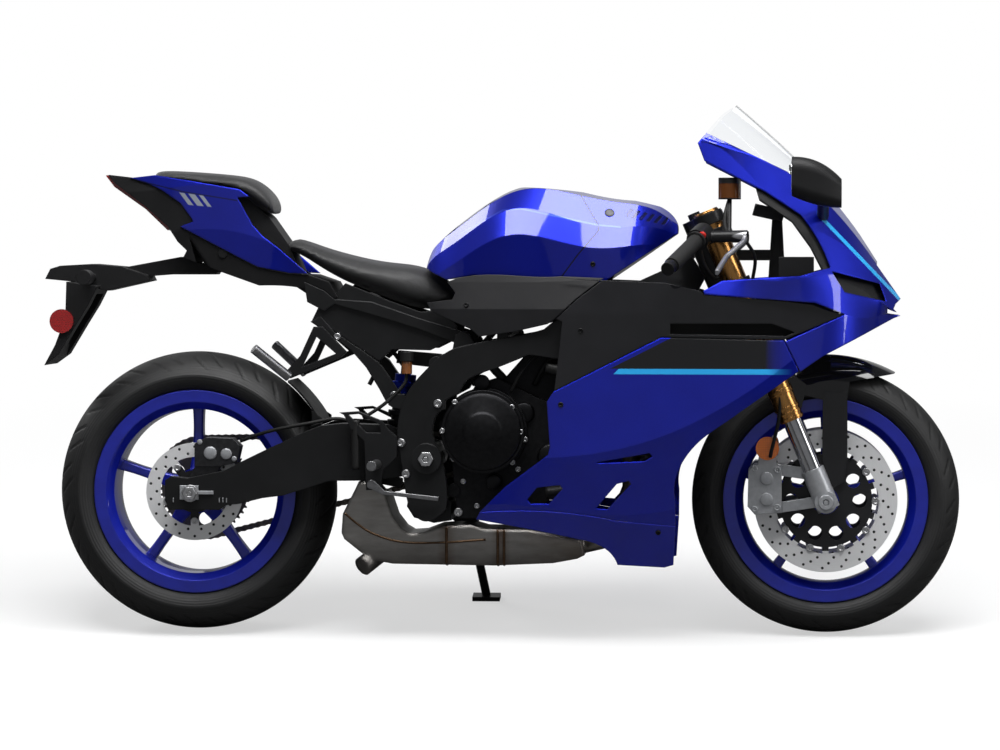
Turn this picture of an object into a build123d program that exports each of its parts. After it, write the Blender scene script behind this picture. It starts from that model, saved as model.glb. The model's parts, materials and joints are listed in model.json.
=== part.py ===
from build123d import *
import math
import os
from dataclasses import dataclass

# Bike frame while it is drawn: +X forward, +Y to the rider's left, +Z up,
# x = 0 at the rear axle, z = 0 on the ground, millimetres and degrees.
WHEELBASE = 1420.0
LEAN = 10.0
RAKE = 22.57
TRAIL = 94.0

# Wheels: 17 inch rims, 120/70 in front and 180/55 behind
RIM_SEAT = 216.0
RIM_FLANGE = 13.0
RIM_WALL = 6.0
TYRE_CLEARANCE = 0.3

# Fork
FORK_HALF_SPACING = 105.0
OUTER_TUBE_RADIUS = 27.0
INNER_TUBE_RADIUS = 21.5
OUTER_TUBE_START = 196.0
FORK_TOP = 700.0
TOP_CLAMP_AT = 668.0
BOTTOM_CLAMP_AT = 506.0
CLAMP_THICKNESS = 26.0
STEM_RADIUS = 14.0
BEARING_GAP = 0.5
SLIDE_GAP = 0.2

# Brakes and drive
FRONT_DISC_RADIUS = 160.0
FRONT_DISC_HALF_SPACING = 68.5
REAR_DISC_RADIUS = 110.0
REAR_DISC_Y = -75.0
DISC_THICKNESS = 4.5
CHAIN_PITCH = 15.875
REAR_TEETH = 45
FRONT_TEETH = 16
CHAIN_Y = 95.0
ROLLER_RADIUS = 5.1

# Axles and pivots
FRONT_AXLE_RADIUS = 12.5
FRONT_AXLE_BORE = 8.0
REAR_AXLE_RADIUS = 12.5
PIVOT = (533.0, 397.0)
PIVOT_RADIUS = 12.0

# Bodywork
PANEL = 4.0
SEAT_GAP = 0.3
STAND_FOOT = (636.0, 268.0)
STAND_PIVOT = (603.0, 168.0, 252.0)
STAND_FOLDED = (-0.97, 0.12, -0.2)
STAND_PIN_RADIUS = 6.0
STAND_HEAD_HALF = 12.0


@dataclass
class WheelSizes:
    """Sizes of one wheel; the crown is the arc that the tyre rolls on."""
    x: float
    tyre_radius: float
    tyre_width: float
    crown_radius: float
    bead_half: float
    hub_radius: float
    hub_half: float
    axle_radius: float
    spoke_hub_width: float
    spoke_rim_width: float
    spoke_half_depth: float

    @property
    def z(self):
        rise = self.crown_radius * (1 / math.cos(math.radians(LEAN)) - 1)
        return self.tyre_radius + rise

    @property
    def flange_radius(self):
        return RIM_SEAT + RIM_FLANGE


FRONT = WheelSizes(WHEELBASE, 300.0, 120.0, 64.0, 44.5, 46.0, 66.0,
                   FRONT_AXLE_RADIUS, 34.0, 26.0, 16.0)
REAR = WheelSizes(0.0, 315.0, 180.0, 103.0, 70.0, 52.0, 72.0,
                  REAR_AXLE_RADIUS, 40.0, 30.0, 20.0)

LEFT = 1
SIDES = (-LEFT, LEFT)
rake = math.radians(RAKE)
CLAMP_OFFSET = FRONT.tyre_radius * math.sin(rake) - TRAIL * math.cos(rake)
FORK_UP = Vector(-math.sin(rake), 0, math.cos(rake))
FORK_PLANE = Plane(origin=(FRONT.x, 0, FRONT.z), x_dir=(math.cos(rake), 0, math.sin(rake)),
                   z_dir=FORK_UP)
STEERING_POINT = FORK_PLANE.from_local_coords((-CLAMP_OFFSET, 0, BOTTOM_CLAMP_AT))


def ground_height(y):
    """Height of the floor under a point of the upright bike, once it leans."""
    return y * math.tan(math.radians(LEAN))


stand_point = Vector(*STAND_PIVOT)
foot_point = Vector(*STAND_FOOT, ground_height(STAND_FOOT[1]))
STAND_DOWN = (foot_point - stand_point).normalized()
STAND_HINGE = STAND_DOWN.cross(Vector(*STAND_FOLDED)).normalized()


# Drawing helpers
def outline_edges(items, place):
    """Closed outline: a point ends a straight run, a list of points ends a curve."""
    start = items[0]
    here = start
    edges = []
    for item in items[1:]:
        if isinstance(item, list):
            edges.append(Spline(place(*here), *[place(*point) for point in item]))
            here = item[-1]
        else:
            edges.append(Line(place(*here), place(*item)))
            here = item
    if here != start:
        edges.append(Line(place(*here), place(*start)))
    return edges


def side_slab(items, y_low, y_high):
    """Prism across the bike from an outline drawn in side view."""
    face = make_face(outline_edges(items, lambda x, z: (x, y_low, z)))
    return extrude(face, amount=y_high - y_low, dir=(0, 1, 0))


def plan_slab(items, z_low, z_high):
    """Upright prism from an outline drawn from above."""
    face = make_face(outline_edges(items, lambda x, y: (x, y, z_low)))
    return extrude(face, amount=z_high - z_low, dir=(0, 0, 1))


def on_side(side, shape):
    """A shape drawn on the left, put on the asked side."""
    if side == LEFT:
        return shape
    return mirror(shape, about=Plane.XZ)


def both_sides(shape):
    return [shape, mirror(shape, about=Plane.XZ)]


def wall(stations, thickness):
    """Thin curved wall on the left: each station is x and (y, z) points from its top down."""
    faces = []
    for x, points in stations:
        outer = [(x, y, z) for y, z in points]
        inner = [(x, y - thickness, z) for y, z in reversed(points)]
        faces.append(make_face(Polyline(*outer, *inner, close=True)))
    return loft(faces)


def beyond(stations, gap=SEAT_GAP):
    """Everything outside a wall's inner face, to end a stay there."""
    faces = []
    for x, points in stations:
        far = [(x, y + 80, z) for y, z in points]
        near = [(x, y - PANEL - gap, z) for y, z in reversed(points)]
        faces.append(make_face(Polyline(*far, *near, close=True)))
    return loft(faces)


def stays(points, length, radius, stations):
    """Short posts on the left that reach out to a panel's inner face."""
    limit = beyond(stations)
    posts = []
    for x, y, z in points:
        posts.append(rod((x, y, z), (x, y + length, z), radius) - limit)
    return posts


def hood(stations, inset=0.0):
    """Solid with the same section on both sides: points run from the middle top down."""
    faces = []
    for x, points in stations:
        half = [(max(y - inset, 0.0), z - inset) for y, z in points]
        ring = [(x, -y, z) for y, z in half]
        ring += [(x, y, z) for y, z in reversed(half) if y > 0]
        faces.append(make_face(Polyline(*ring, close=True)))
    return loft(faces)


def rod(start, end, radius):
    """Round bar between two points."""
    start = Vector(*start)
    end = Vector(*end)
    return Solid.make_cylinder(radius, (end - start).length, Plane(start, z_dir=end - start))


def cross_rod(x, z, y_low, y_high, radius):
    return rod((x, y_low, z), (x, y_high, z), radius)


def tube_along(points, radius, bend):
    """Round bar along straight runs joined by bends."""
    path = FilletPolyline(*points, radius=bend)
    start = Plane(path @ 0, z_dir=path % 0)
    return sweep(start * Circle(radius), path=path)


def fork_rod(across, low, high, radius, forward=0.0):
    """Round bar along the fork, given by its distance from the front axle."""
    return FORK_PLANE * Pos(forward, across, (low + high) / 2) * Cylinder(radius, high - low)


def ring(x, y_low, y_high, z, outer, inner):
    """Flat ring on a crosswise axis."""
    return cross_rod(x, z, y_low, y_high, outer) - cross_rod(x, z, y_low - 1, y_high + 1, inner)


def spin(shape, x, z, angle):
    return shape.rotate(Axis((x, 0, z), (0, 1, 0)), angle)


def solids_of(*shapes):
    """Flat list of the solids in some shapes."""
    found = []
    for shape in shapes:
        if isinstance(shape, (list, tuple)):
            found += solids_of(*shape)
        else:
            found += list(shape.solids())
    return found


# Wheels
def tyre(wheel):
    """Tyre with a true arc as its crown, seated between the rim flanges."""
    half = wheel.tyre_width / 2
    crown_centre = wheel.tyre_radius - wheel.crown_radius
    shoulder = crown_centre + math.sqrt(wheel.crown_radius ** 2 - half ** 2)
    bead = wheel.bead_half - TYRE_CLEARANCE
    seat = RIM_SEAT + TYRE_CLEARANCE
    flange = wheel.flange_radius
    bulge = ((bead + half) / 2 + 4, (flange + shoulder) / 2 - 2)

    def at(y, radius):
        return (wheel.x, y, wheel.z + radius)

    profile = make_face([
        Line(at(-bead, seat), at(bead, seat)),
        Line(at(bead, seat), at(bead, flange)),
        ThreePointArc(at(bead, flange), at(*bulge), at(half, shoulder)),
        ThreePointArc(at(half, shoulder), at(0, wheel.tyre_radius), at(-half, shoulder)),
        ThreePointArc(at(-half, shoulder), at(-bulge[0], bulge[1]), at(-bead, flange)),
        Line(at(-bead, flange), at(-bead, seat)),
    ])
    return revolve(profile, Axis((wheel.x, 0, wheel.z), (0, 1, 0)), 360)


def rim_barrel(wheel):
    """Rim channel with its two flanges."""
    bead = wheel.bead_half
    edge = bead + RIM_WALL
    half = [(edge, wheel.flange_radius), (edge, RIM_SEAT - 14), (bead - 12, RIM_SEAT - 30),
            (bead * 0.35, RIM_SEAT - 32)]
    points = [(bead, RIM_SEAT), (bead, wheel.flange_radius)] + half
    points += [(-y, radius) for y, radius in reversed(points)]
    corners = [(wheel.x, y, wheel.z + radius) for y, radius in points]
    profile = make_face(Polyline(*corners, close=True))
    return revolve(profile, Axis((wheel.x, 0, wheel.z), (0, 1, 0)), 360)


def spoke(wheel):
    """One tapered spoke, standing straight up from the hub."""
    sections = []
    for radius, width, depth in ((wheel.hub_radius - 8, wheel.spoke_hub_width, 1.25),
                                 (110.0, wheel.spoke_rim_width * 0.8, 1.0),
                                 (RIM_SEAT - 9, wheel.spoke_rim_width, 1.0)):
        plane = Plane(origin=(wheel.x, 0, wheel.z + radius), x_dir=(1, 0, 0), z_dir=(0, 0, 1))
        sections.append(plane * RectangleRounded(width, 2 * wheel.spoke_half_depth * depth, 6))
    return loft(sections)


def rim(wheel):
    """Five-spoke cast rim with its hub."""
    hub = cross_rod(wheel.x, wheel.z, -wheel.hub_half, wheel.hub_half, wheel.hub_radius - 10)
    hub += cross_rod(wheel.x, wheel.z, -wheel.hub_half * 0.5, wheel.hub_half * 0.5,
                     wheel.hub_radius)
    body = rim_barrel(wheel) + hub
    arm = spoke(wheel)
    for index in range(5):
        body += spin(arm, wheel.x, wheel.z, 72 * index)
    bore = wheel.axle_radius + BEARING_GAP
    return body - cross_rod(wheel.x, wheel.z, -wheel.hub_half - 1, wheel.hub_half + 1, bore)


def front_disc(side):
    """Brake ring carried by a thin star on the hub's end."""
    y_mid = side * FRONT_DISC_HALF_SPACING
    y_low = y_mid - DISC_THICKNESS / 2
    y_high = y_mid + DISC_THICKNESS / 2
    band = ring(FRONT.x, y_low, y_high, FRONT.z, FRONT_DISC_RADIUS, 118)
    carrier = ring(FRONT.x, y_low, y_high, FRONT.z, 104, FRONT.hub_radius - 16)
    arm = side_slab([(FRONT.x - 7, FRONT.z + 100), (FRONT.x + 7, FRONT.z + 100),
                     (FRONT.x + 7, FRONT.z + 120), (FRONT.x - 7, FRONT.z + 120)], y_low, y_high)
    window = cross_rod(FRONT.x, FRONT.z + 76, y_low - 1, y_high + 1, 16)
    for index in range(10):
        carrier += spin(arm, FRONT.x, FRONT.z, 36 * index)
        carrier -= spin(window, FRONT.x, FRONT.z, 36 * index + 18)
    return band + carrier


def rear_disc():
    y_low = REAR_DISC_Y - DISC_THICKNESS / 2
    y_high = REAR_DISC_Y + DISC_THICKNESS / 2
    band = ring(REAR.x, y_low, y_high, REAR.z, REAR_DISC_RADIUS, 78)
    body = band + ring(REAR.x, y_low, y_high, REAR.z, 48, REAR_AXLE_RADIUS + 8)
    arm = side_slab([(REAR.x - 9, REAR.z + 44), (REAR.x + 9, REAR.z + 44),
                     (REAR.x + 9, REAR.z + 82), (REAR.x - 9, REAR.z + 82)], y_low, y_high)
    for index in range(5):
        body += spin(arm, REAR.x, REAR.z, 72 * index + 36)
    return body


def pitch_radius(teeth):
    return CHAIN_PITCH / (2 * math.sin(math.pi / teeth))


def rear_sprocket():
    """Toothed ring on a flange that seats on the hub."""
    tip = pitch_radius(REAR_TEETH) - ROLLER_RADIUS - 2
    root = tip - 6
    step = 2 * math.pi / REAR_TEETH
    corners = []
    for index in range(REAR_TEETH):
        for share, radius in ((0.0, root), (0.25, root), (0.42, tip), (0.58, tip), (0.75, root)):
            angle = (index + share) * step
            corners.append((REAR.x + radius * math.sin(angle), REAR.z + radius * math.cos(angle)))
    plate = side_slab(corners, CHAIN_Y - 3.5, CHAIN_Y + 3.5)
    plate -= cross_rod(REAR.x, REAR.z, CHAIN_Y - 5, CHAIN_Y + 5, REAR_AXLE_RADIUS + 8)
    window = cross_rod(REAR.x, REAR.z + 72, CHAIN_Y - 5, CHAIN_Y + 5, 15)
    for index in range(6):
        plate -= spin(window, REAR.x, REAR.z, 60 * index)
    flange = ring(REAR.x, REAR.hub_half, CHAIN_Y - 3.5, REAR.z, 50, REAR_AXLE_RADIUS + 8)
    return plate + flange


# Chain and its run
FRONT_SPROCKET = (612.0, 401.0)


def chain_band(extra, y_low, y_high):
    """Filled shape of the chain's run, its pitch line widened by some millimetres."""
    front = pitch_radius(FRONT_TEETH) + extra
    rear = pitch_radius(REAR_TEETH) + extra
    x_run = FRONT_SPROCKET[0] - REAR.x
    z_run = FRONT_SPROCKET[1] - REAR.z
    reach = math.hypot(x_run, z_run)
    slope = math.atan2(z_run, x_run)
    lift = math.asin((rear - front) / reach)
    up = slope + math.pi / 2 - lift
    down = slope - math.pi / 2 + lift

    def at(centre, radius, angle):
        return (centre[0] + radius * math.cos(angle), y_low, centre[1] + radius * math.sin(angle))

    back = (REAR.x, REAR.z)
    face = make_face([
        Line(at(back, rear, up), at(FRONT_SPROCKET, front, up)),
        ThreePointArc(at(FRONT_SPROCKET, front, up), at(FRONT_SPROCKET, front, slope),
                      at(FRONT_SPROCKET, front, down)),
        Line(at(FRONT_SPROCKET, front, down), at(back, rear, down)),
        ThreePointArc(at(back, rear, down), at(back, rear, slope + math.pi), at(back, rear, up)),
    ])
    return extrude(face, amount=y_high - y_low, dir=(0, 1, 0))


def chain():
    """Closed loop: two rows of side plates with the rollers between them."""
    plates = []
    for y_low in (CHAIN_Y - 9, CHAIN_Y + 6):
        plates.append(chain_band(7, y_low, y_low + 3) - chain_band(-6, y_low - 1, y_low + 4))
    rollers = chain_band(4.5, CHAIN_Y - 6, CHAIN_Y + 6) - chain_band(-4.5, CHAIN_Y - 7, CHAIN_Y + 7)
    return rollers + plates[0] + plates[1]


# Frame and engine
SPAR_OUTLINE = [
    (651, 656), [(700, 664), (757, 674)], (794, 685), (811, 699), (1010, 795), (1120, 845),
    (1150, 800), (1120, 745), (1000, 690), (860, 610), (829, 619), (786, 626), (760, 629),
    [(727, 614), (680, 596), (651, 586), (619, 568)], (605, 543), (575, 527), (574, 506),
    [(559, 499), (548, 476), (546, 449), (557, 424), (566, 398), (577, 346), (577, 286)],
    [(563, 271), (528, 257), (499, 279), (488, 308), (480, 362), (469, 432), (467, 465),
     (470, 487), (479, 521), (496, 554), (528, 591), (562, 623), (593, 642)],
]
SPAR_OUTER = [(440, 150), (560, 168), (700, 174), (860, 168), (1000, 144), (1090, 98), (1160, 40)]
SPAR_WIDTH = 34.0
HEAD_LOW = BOTTOM_CLAMP_AT + CLAMP_THICKNESS + 4
HEAD_HIGH = TOP_CLAMP_AT - 6


def main_frame():
    """Twin-spar frame: two curved spars, the steering head and the cross members."""
    inner = [(x, y - SPAR_WIDTH) for x, y in reversed(SPAR_OUTER)]
    inner[0] = (SPAR_OUTER[-1][0], 6)
    band = plan_slab([SPAR_OUTER[0], SPAR_OUTER[1:], inner[0], inner[1:]], 200, 900)
    spar = side_slab(SPAR_OUTLINE, 0, 200) & band
    body = spar + mirror(spar, about=Plane.XZ)
    head = fork_rod(0, HEAD_LOW, HEAD_HIGH, 34, -CLAMP_OFFSET)
    body += head
    for x, z, radius in ((548, 300, 22), (640, 622, 20)):
        body += cross_rod(x, z, -142, 142, radius)
    for side in SIDES:
        body += cross_rod(812, 668, *sorted((side * 100.2, side * 150)), 18)
    for side in SIDES:
        body += cross_rod(*PIVOT, *sorted((side * 108, side * 176)), 34)
    body += side_slab([(540, 300), (577, 292), (628, 268), (628, 225), (585, 222), (545, 268)],
                      134, 145)
    body += rod(tuple(stand_point - STAND_HINGE * 34),
                tuple(stand_point - STAND_HINGE * (STAND_HEAD_HALF + SEAT_GAP)), 16)
    body += rod(tuple(stand_point - STAND_HINGE * 34),
                tuple(stand_point + STAND_HINGE * (STAND_HEAD_HALF + 2)), STAND_PIN_RADIUS)
    body += side_slab([(500, 262), (484, 287), (490, 322), (528, 318), (584, 300), (584, 256),
                       (545, 250)], -110, 60)
    eyes = side_slab([(590, 640), (596, 672), (612, 682), (628, 672), (640, 650)], 134, 150)
    eyes += side_slab([(446, 516), (452, 540), (484, 540), (484, 505), (456, 510)], 134, 150)
    eyes += side_slab([(690, 650), (690, 700), (715, 700), (715, 650)], 140, 160)
    eyes += side_slab([(900, 735), (925, 748), (925, 790.5), (900, 789.2)], 104, 140)
    for post in stays([(702, 150, 690)], 60, 8, COVER_STATIONS):
        eyes += post
    for post in stays([(1040, 100, 762), (880, 140, 700)], 120, 8, INFILL_STATIONS):
        eyes += post
    body += eyes + mirror(eyes, about=Plane.XZ)
    shelf = side_slab([(452, 606), (456, 634), (552, 626), (552, 594)], -22, 22)
    body += shelf + cross_rod(552, 608, -142, 142, 16)
    bore = fork_rod(0, HEAD_LOW - 40, HEAD_HIGH + 40, STEM_RADIUS + BEARING_GAP, -CLAMP_OFFSET)
    body -= bore
    body -= cross_rod(*PIVOT, -200, 200, PIVOT_RADIUS + SLIDE_GAP)
    return body


SUBFRAME_Y = 104.0


def subframe():
    """Two triangulated side rails that carry the seats, tied by three cross tubes."""
    rail = side_slab([(308, 752), (406, 745), (510, 709), (606, 680), (622, 664), (610, 648),
                      (510, 686), (423, 713), (319, 742)], SUBFRAME_Y, SUBFRAME_Y + 24)
    strut = side_slab([(292, 712), (322, 678), (379, 641), (423, 610), (474, 536), (458, 514),
                       (438, 524), (423, 552), (394, 599), (357, 641), (269, 701)],
                      SUBFRAME_Y, SUBFRAME_Y + 24)
    web = side_slab([(292, 745), (330, 768), (347, 787), (448, 747), (515, 723), (572, 728),
                     (598, 690), (590, 663), (538, 637), (452, 639), (423, 613), (316, 684),
                     (270, 700)], SUBFRAME_Y + 4, SUBFRAME_Y + 16)
    upper = side_slab([(40, 850), (60, 868), (240, 812), (330, 748), (300, 735), (200, 800)],
                      72, 90)
    link = side_slab([(255, 790), (300, 770), (330, 745), (300, 725), (262, 745)], 72, 128)
    side = rail + strut + web + upper + link
    side += side_slab([(402, 740), (425, 735), (425, 758.8), (402, 767.9)], 104, 118)
    side += cross_rod(612, 664, SUBFRAME_Y, 133.7, 16) + cross_rod(456, 526, SUBFRAME_Y, 133.7, 14)
    body = side + mirror(side, about=Plane.XZ)
    for x, z in ((70, 854), (300, 752), (520, 696)):
        body += cross_rod(x, z, -SUBFRAME_Y - 6, SUBFRAME_Y + 6, 11)
    return body


CRANKCASE = [
    (600, 500), (640, 560), (690, 575), (760, 540), (850, 500), (880, 440), (870, 380),
    (840, 330), (800, 300), (760, 262), (600, 262), (592, 330), (586, 400), (584, 450),
]
CYLINDERS = [(690, 560), (850, 480), (970, 640), (930, 705), (840, 735), (770, 650)]


def engine_block():
    """Crankcase, leaning cylinders and sump as one heavy block."""
    case = side_slab(CRANKCASE, -128, 122)
    cylinders = side_slab(CYLINDERS, -100, 100)
    sump = side_slab([(640, 262), (780, 262), (770, 256), (650, 256)], -80, 80)
    body = case + cylinders + sump
    body += cross_rod(660, 458, -150, -120, 96)
    body += cross_rod(782, 440, 116, 148, 84)
    for x, z in ((572, 470), (590, 324)):
        body += cross_rod(x, z, -133, 133, 15)
        body += side_slab([(x, z + 15), (x, z - 15), (620, z - 15), (620, z + 15)], -120, 120)
    sprocket_y = CHAIN_Y - 3
    body -= cross_rod(*FRONT_SPROCKET, 78, 140, pitch_radius(FRONT_TEETH) + 22)
    body += cross_rod(*FRONT_SPROCKET, 70, sprocket_y, 18)
    body += cross_rod(*FRONT_SPROCKET, sprocket_y, sprocket_y + 6, pitch_radius(FRONT_TEETH) - 4.9)
    return body


def engine_covers():
    """Clutch cover on the right, generator cover on the left."""
    clutch = cross_rod(660, 458, -186, -150, 92)
    clutch += cross_rod(657, 449, -194, -186, 47)
    clutch += cross_rod(664, 466, -192, -186, 60)
    generator = cross_rod(782, 440, 148, 178, 80)
    return [clutch, generator]


def radiator():
    """Core between two end tanks, leaning with its top forward."""
    core = side_slab([(1010, 360), (1040, 360), (1072, 640), (1042, 640)], -170, 170)
    for side in SIDES:
        tank = side_slab([(1004, 350), (1046, 350), (1080, 650), (1036, 650)], 150, 182)
        tank += side_slab([(1020, 630), (1050, 630), (1050, 712.5), (1020, 698.8)], 100, 112)
        for post in stays([(1036, 170, 420), (1050, 170, 560)], 80, 8, SIDE_STATIONS):
            tank += post
        core += on_side(side, tank)
    return core


EXHAUST_OUTLINE = [
    (377, 343), (369, 326), (341, 271), (338, 228), (344, 214), (402, 168), (454, 159),
    (681, 156), (813, 162), (867, 172), (883, 180), (876, 213), (761, 236), (658, 238),
    (629, 247), (557, 243), (520, 229), (491, 227), (474, 237), (454, 263), (436, 315),
    (412, 343),
]


def exhaust():
    """Collector box below the engine with three header pipes and a short outlet."""
    box = side_slab(EXHAUST_OUTLINE, -122, 40)
    for y, start_y in ((-84, -60), (0, -40), (84, -20)):
        points = [(860, start_y, 195), (940, y, 215), (985, y, 330), (985, y, 520), (930, y, 600)]
        box += tube_along(points, 19, 28)
    box += rod((420, -80, 180), (385, -118, 152), 22)
    box -= side_slab([(330, 316), (520, 316), (520, 400), (330, 400)], -30, 60)
    return box - engine_block()


# Swingarm, rear axle and shock
ARM_OUTLINE = [
    (-58, 300), (-58, 345), (-45, 354), (-6, 350), (78, 368), (107, 384), (179, 419), (223, 439),
    (266, 459), (294, 469), (341, 474), (440, 470), (520, 440), (566, 410), (566, 384),
    (520, 360), (405, 345), (312, 345), (266, 330), (208, 312), (162, 306), (110, 293),
    (81, 290), (64, 279), (-50, 279),
]
ARM_INNER = [(-80, 108), (120, 112), (330, 104), (450, 80), (600, 70)]
ARM_WIDTH = 30.0
ARM_SIDE_GAP = 0.5


def swingarm():
    """Two box arms joined in front of the tyre, with the pivot tube and axle slots."""
    outer = [(x, y + ARM_WIDTH) for x, y in reversed(ARM_INNER)]
    outer[0] = (600, 108 - ARM_SIDE_GAP)
    outer[1] = (450, 112)
    band = plan_slab([ARM_INNER[0], ARM_INNER[1:], outer[0], outer[1:]], 200, 520)
    arm = side_slab(ARM_OUTLINE, 0, 160) & band
    body = arm + mirror(arm, about=Plane.XZ)
    bridge = side_slab([(352, 466), (402, 464), (402, 354), (356, 356)], -100, 100)
    bridge += side_slab([(400, 365), (464, 343), (464, 322), (400, 335)], -18, 18)
    bridge -= cross_rod(REAR.x, REAR.z, -110, 110, REAR.tyre_radius + 22)
    body += bridge
    pivot = cross_rod(*PIVOT, -108 + ARM_SIDE_GAP, 108 - ARM_SIDE_GAP, 30)
    body += pivot
    body -= cross_rod(*PIVOT, -120, 120, PIVOT_RADIUS + SLIDE_GAP)
    body -= cross_rod(REAR.x, REAR.z, -160, 160, REAR_AXLE_RADIUS + SLIDE_GAP)
    clear = chain_band(14, CHAIN_Y - 14, CHAIN_Y + 14) - chain_band(-14, CHAIN_Y - 15, CHAIN_Y + 15)
    return body - clear


def pivot_bolt():
    return cross_rod(*PIVOT, -180, 180, PIVOT_RADIUS)


def rear_axle():
    """Axle with a nut at each end, outside the arms, and the wheel spacers."""
    body = cross_rod(REAR.x, REAR.z, -150, 150, REAR_AXLE_RADIUS)
    for side in SIDES:
        body += cross_rod(REAR.x, REAR.z, *sorted((side * 141, side * 152)), 19)
        body += cross_rod(REAR.x, REAR.z, *sorted((side * 72.5, side * 106)), 17)
    return body


def rear_shock():
    """Coil spring over a damper, standing in front of the tyre."""
    low = Vector(450, 0, 351)
    high = Vector(474, 0, 602)
    axis = (high - low).normalized()
    body = rod(tuple(low), tuple(high), 12)
    for index in range(7):
        start = low + axis * (70 + 22 * index)
        body += rod(tuple(start), tuple(start + axis * 11), 32)
    body += rod(tuple(low + axis * 60), tuple(low + axis * 230), 24)
    return body


def rear_hugger():
    """Short guard over the front of the rear tyre."""
    outer = REAR.tyre_radius + 16
    shell = cross_rod(REAR.x, REAR.z, -96, 96, outer) - cross_rod(REAR.x, REAR.z, -97, 97, outer - 4)
    window = side_slab([(213, 552), (215, 572), (250, 572), (345, 500), (345, 478), (250, 470)],
                       -100, 100)
    guard = shell & window
    foot = side_slab([(268, 460.2), (292, 468.8), (292, 474), (268, 466)], 94, 126)
    foot += side_slab([(268, 462), (292, 470), (292, 484), (268, 500)], 92, 96)
    return guard + foot + mirror(foot, about=Plane.XZ)


def rear_caliper():
    """Single caliper over the top of the rear disc with its carrier on the axle."""
    body = side_slab([(4, 374), (4, 426), (30, 440), (90, 438), (108, 420), (100, 384), (60, 374)],
                     -106, -58)
    body -= cross_rod(REAR.x, REAR.z, REAR_DISC_Y - 6, REAR_DISC_Y + 6, REAR_DISC_RADIUS + 6)
    carrier = side_slab([(-26, 316), (26, 316), (64, 378), (6, 378)], -100, -86)
    carrier += cross_rod(REAR.x, REAR.z, -100, -86, 30)
    return body + (carrier - cross_rod(REAR.x, REAR.z, -110, -80, 17.3))


# Tank, seats and tail
TANK_STATIONS = [
    (520, [(0, 824), (50, 822), (78, 806), (84, 770), (84, 740)]),
    (575, [(0, 903), (60, 896), (104, 866), (122, 820), (118, 740)]),
    (640, [(0, 953), (72, 944), (116, 912), (140, 862), (122, 740)]),
    (740, [(0, 1004), (90, 996), (134, 954), (162, 896), (138, 740)]),
    (860, [(0, 995), (92, 986), (136, 926), (160, 872), (146, 740)]),
    (1000, [(0, 972), (82, 962), (118, 914), (138, 872), (130, 740)]),
    (1060, [(0, 957), (44, 938), (56, 905), (60, 868), (60, 740)]),
    (1100, [(0, 918), (28, 912), (38, 896), (42, 868), (42, 740)]),
]
TANK_OUTLINE = [
    (527, 821), [(549, 878), (563, 893)], [(620, 940), (686, 982), (720, 999), (748, 1002)],
    [(862, 993), (1003, 970), (1048, 959)], [(1066, 948), (1080, 934), (1088, 898)], (929, 791),
    (831, 786), (690, 786), (639, 806), (574, 795), (540, 812),
]


def fuel_tank():
    """Closed tank with sharp shoulders, hollowed at the knees."""
    return hood(TANK_STATIONS) & side_slab(TANK_OUTLINE, -200, 200)


COVER_STATIONS = [
    (520, [(92, 850), (124, 790), (140, 730), (142, 650)]),
    (600, [(124, 850), (146, 790), (164, 730), (170, 650)]),
    (760, [(146, 850), (168, 790), (186, 730), (190, 650)]),
    (950, [(140, 850), (160, 800), (192, 730), (196, 650)]),
]
COVER_OUTLINE = [
    (577, 790), [(604, 799), (639, 805), (831, 803)], (929, 799), (920, 794), (865, 751),
    (823, 711), (804, 697), (730, 680), (652, 669), (635, 684), [(590, 704), (541, 726)],
    (532, 744), (590, 751), (596, 766),
]


def tank_side_covers():
    """Covers between tank, seat and frame."""
    return both_sides(wall(COVER_STATIONS, PANEL) & side_slab(COVER_OUTLINE, 0, 260))


RIDER_SEAT_OUTLINE = [
    (207, 884), (214, 888), [(232, 884), (322, 855), (390, 837), (436, 829), (520, 826)],
    (533, 812), (568, 793), [(591, 773), (594, 750), (572, 732)], (515, 726), (448, 750),
    (347, 790), (246, 851),
]
PILLION_OUTLINE = [
    (-100, 1031), (-92, 1040), [(0, 1036), (116, 1026), (134, 1018)], [(157, 1001), (173, 985),
     (180, 964)], (170, 934), (128, 975), (105, 1000), (-60, 1022),
]
SEAT_PLAN = [(180, 78), (300, 120), (420, 134), (520, 112), (600, 84)]
PILLION_PLAN = [(-120, 62), (0, 88), (120, 100), (200, 84)]


def plan_band(points):
    """Upright band with the same curved edge on both sides."""
    right = [(x, -y) for x, y in reversed(points)]
    return plan_slab([points[0], points[1:], right[0], right[1:]], 500, 1200)


def rider_seat():
    return side_slab(RIDER_SEAT_OUTLINE, -160, 160) & plan_band(SEAT_PLAN)


def pillion_seat():
    return side_slab(PILLION_OUTLINE, -120, 120) & plan_band(PILLION_PLAN)


TAIL_STATIONS = [
    (-200, [(40, 1060), (52, 1000), (50, 900), (40, 780)]),
    (-60, [(84, 1060), (96, 1000), (96, 900), (80, 780)]),
    (110, [(104, 1060), (118, 1000), (122, 900), (110, 780)]),
    (220, [(96, 1060), (118, 960), (130, 860), (118, 780)]),
    (330, [(96, 1060), (124, 900), (136, 820), (128, 740)]),
]
TAIL_BLUE = [
    (-147, 1024), (-88, 1030), [(0, 1016), (109, 997)], (131, 981), (104, 979), (138, 918),
    (161, 893), (199, 864), (264, 808), (222, 810), (149, 824), (109, 844), (-27, 914), (2, 925),
    (0, 931), (-27, 967), (-72, 997), (-95, 1008),
]
TAIL_DARK = [
    (-202, 1032), (-150, 1026), (-98, 1010), (-72, 999), (-27, 969), (0, 933), (0, 925),
    (-27, 912), (107, 842), (147, 822), (222, 808), (264, 806), (310, 790), (330, 756),
    (290, 740), (262, 744), (242, 728), (156, 780), (65, 812), (43, 821), (-23, 844), (-14, 860),
    (-35, 880), (-57, 914), (-111, 960), (-182, 1011),
]


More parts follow.
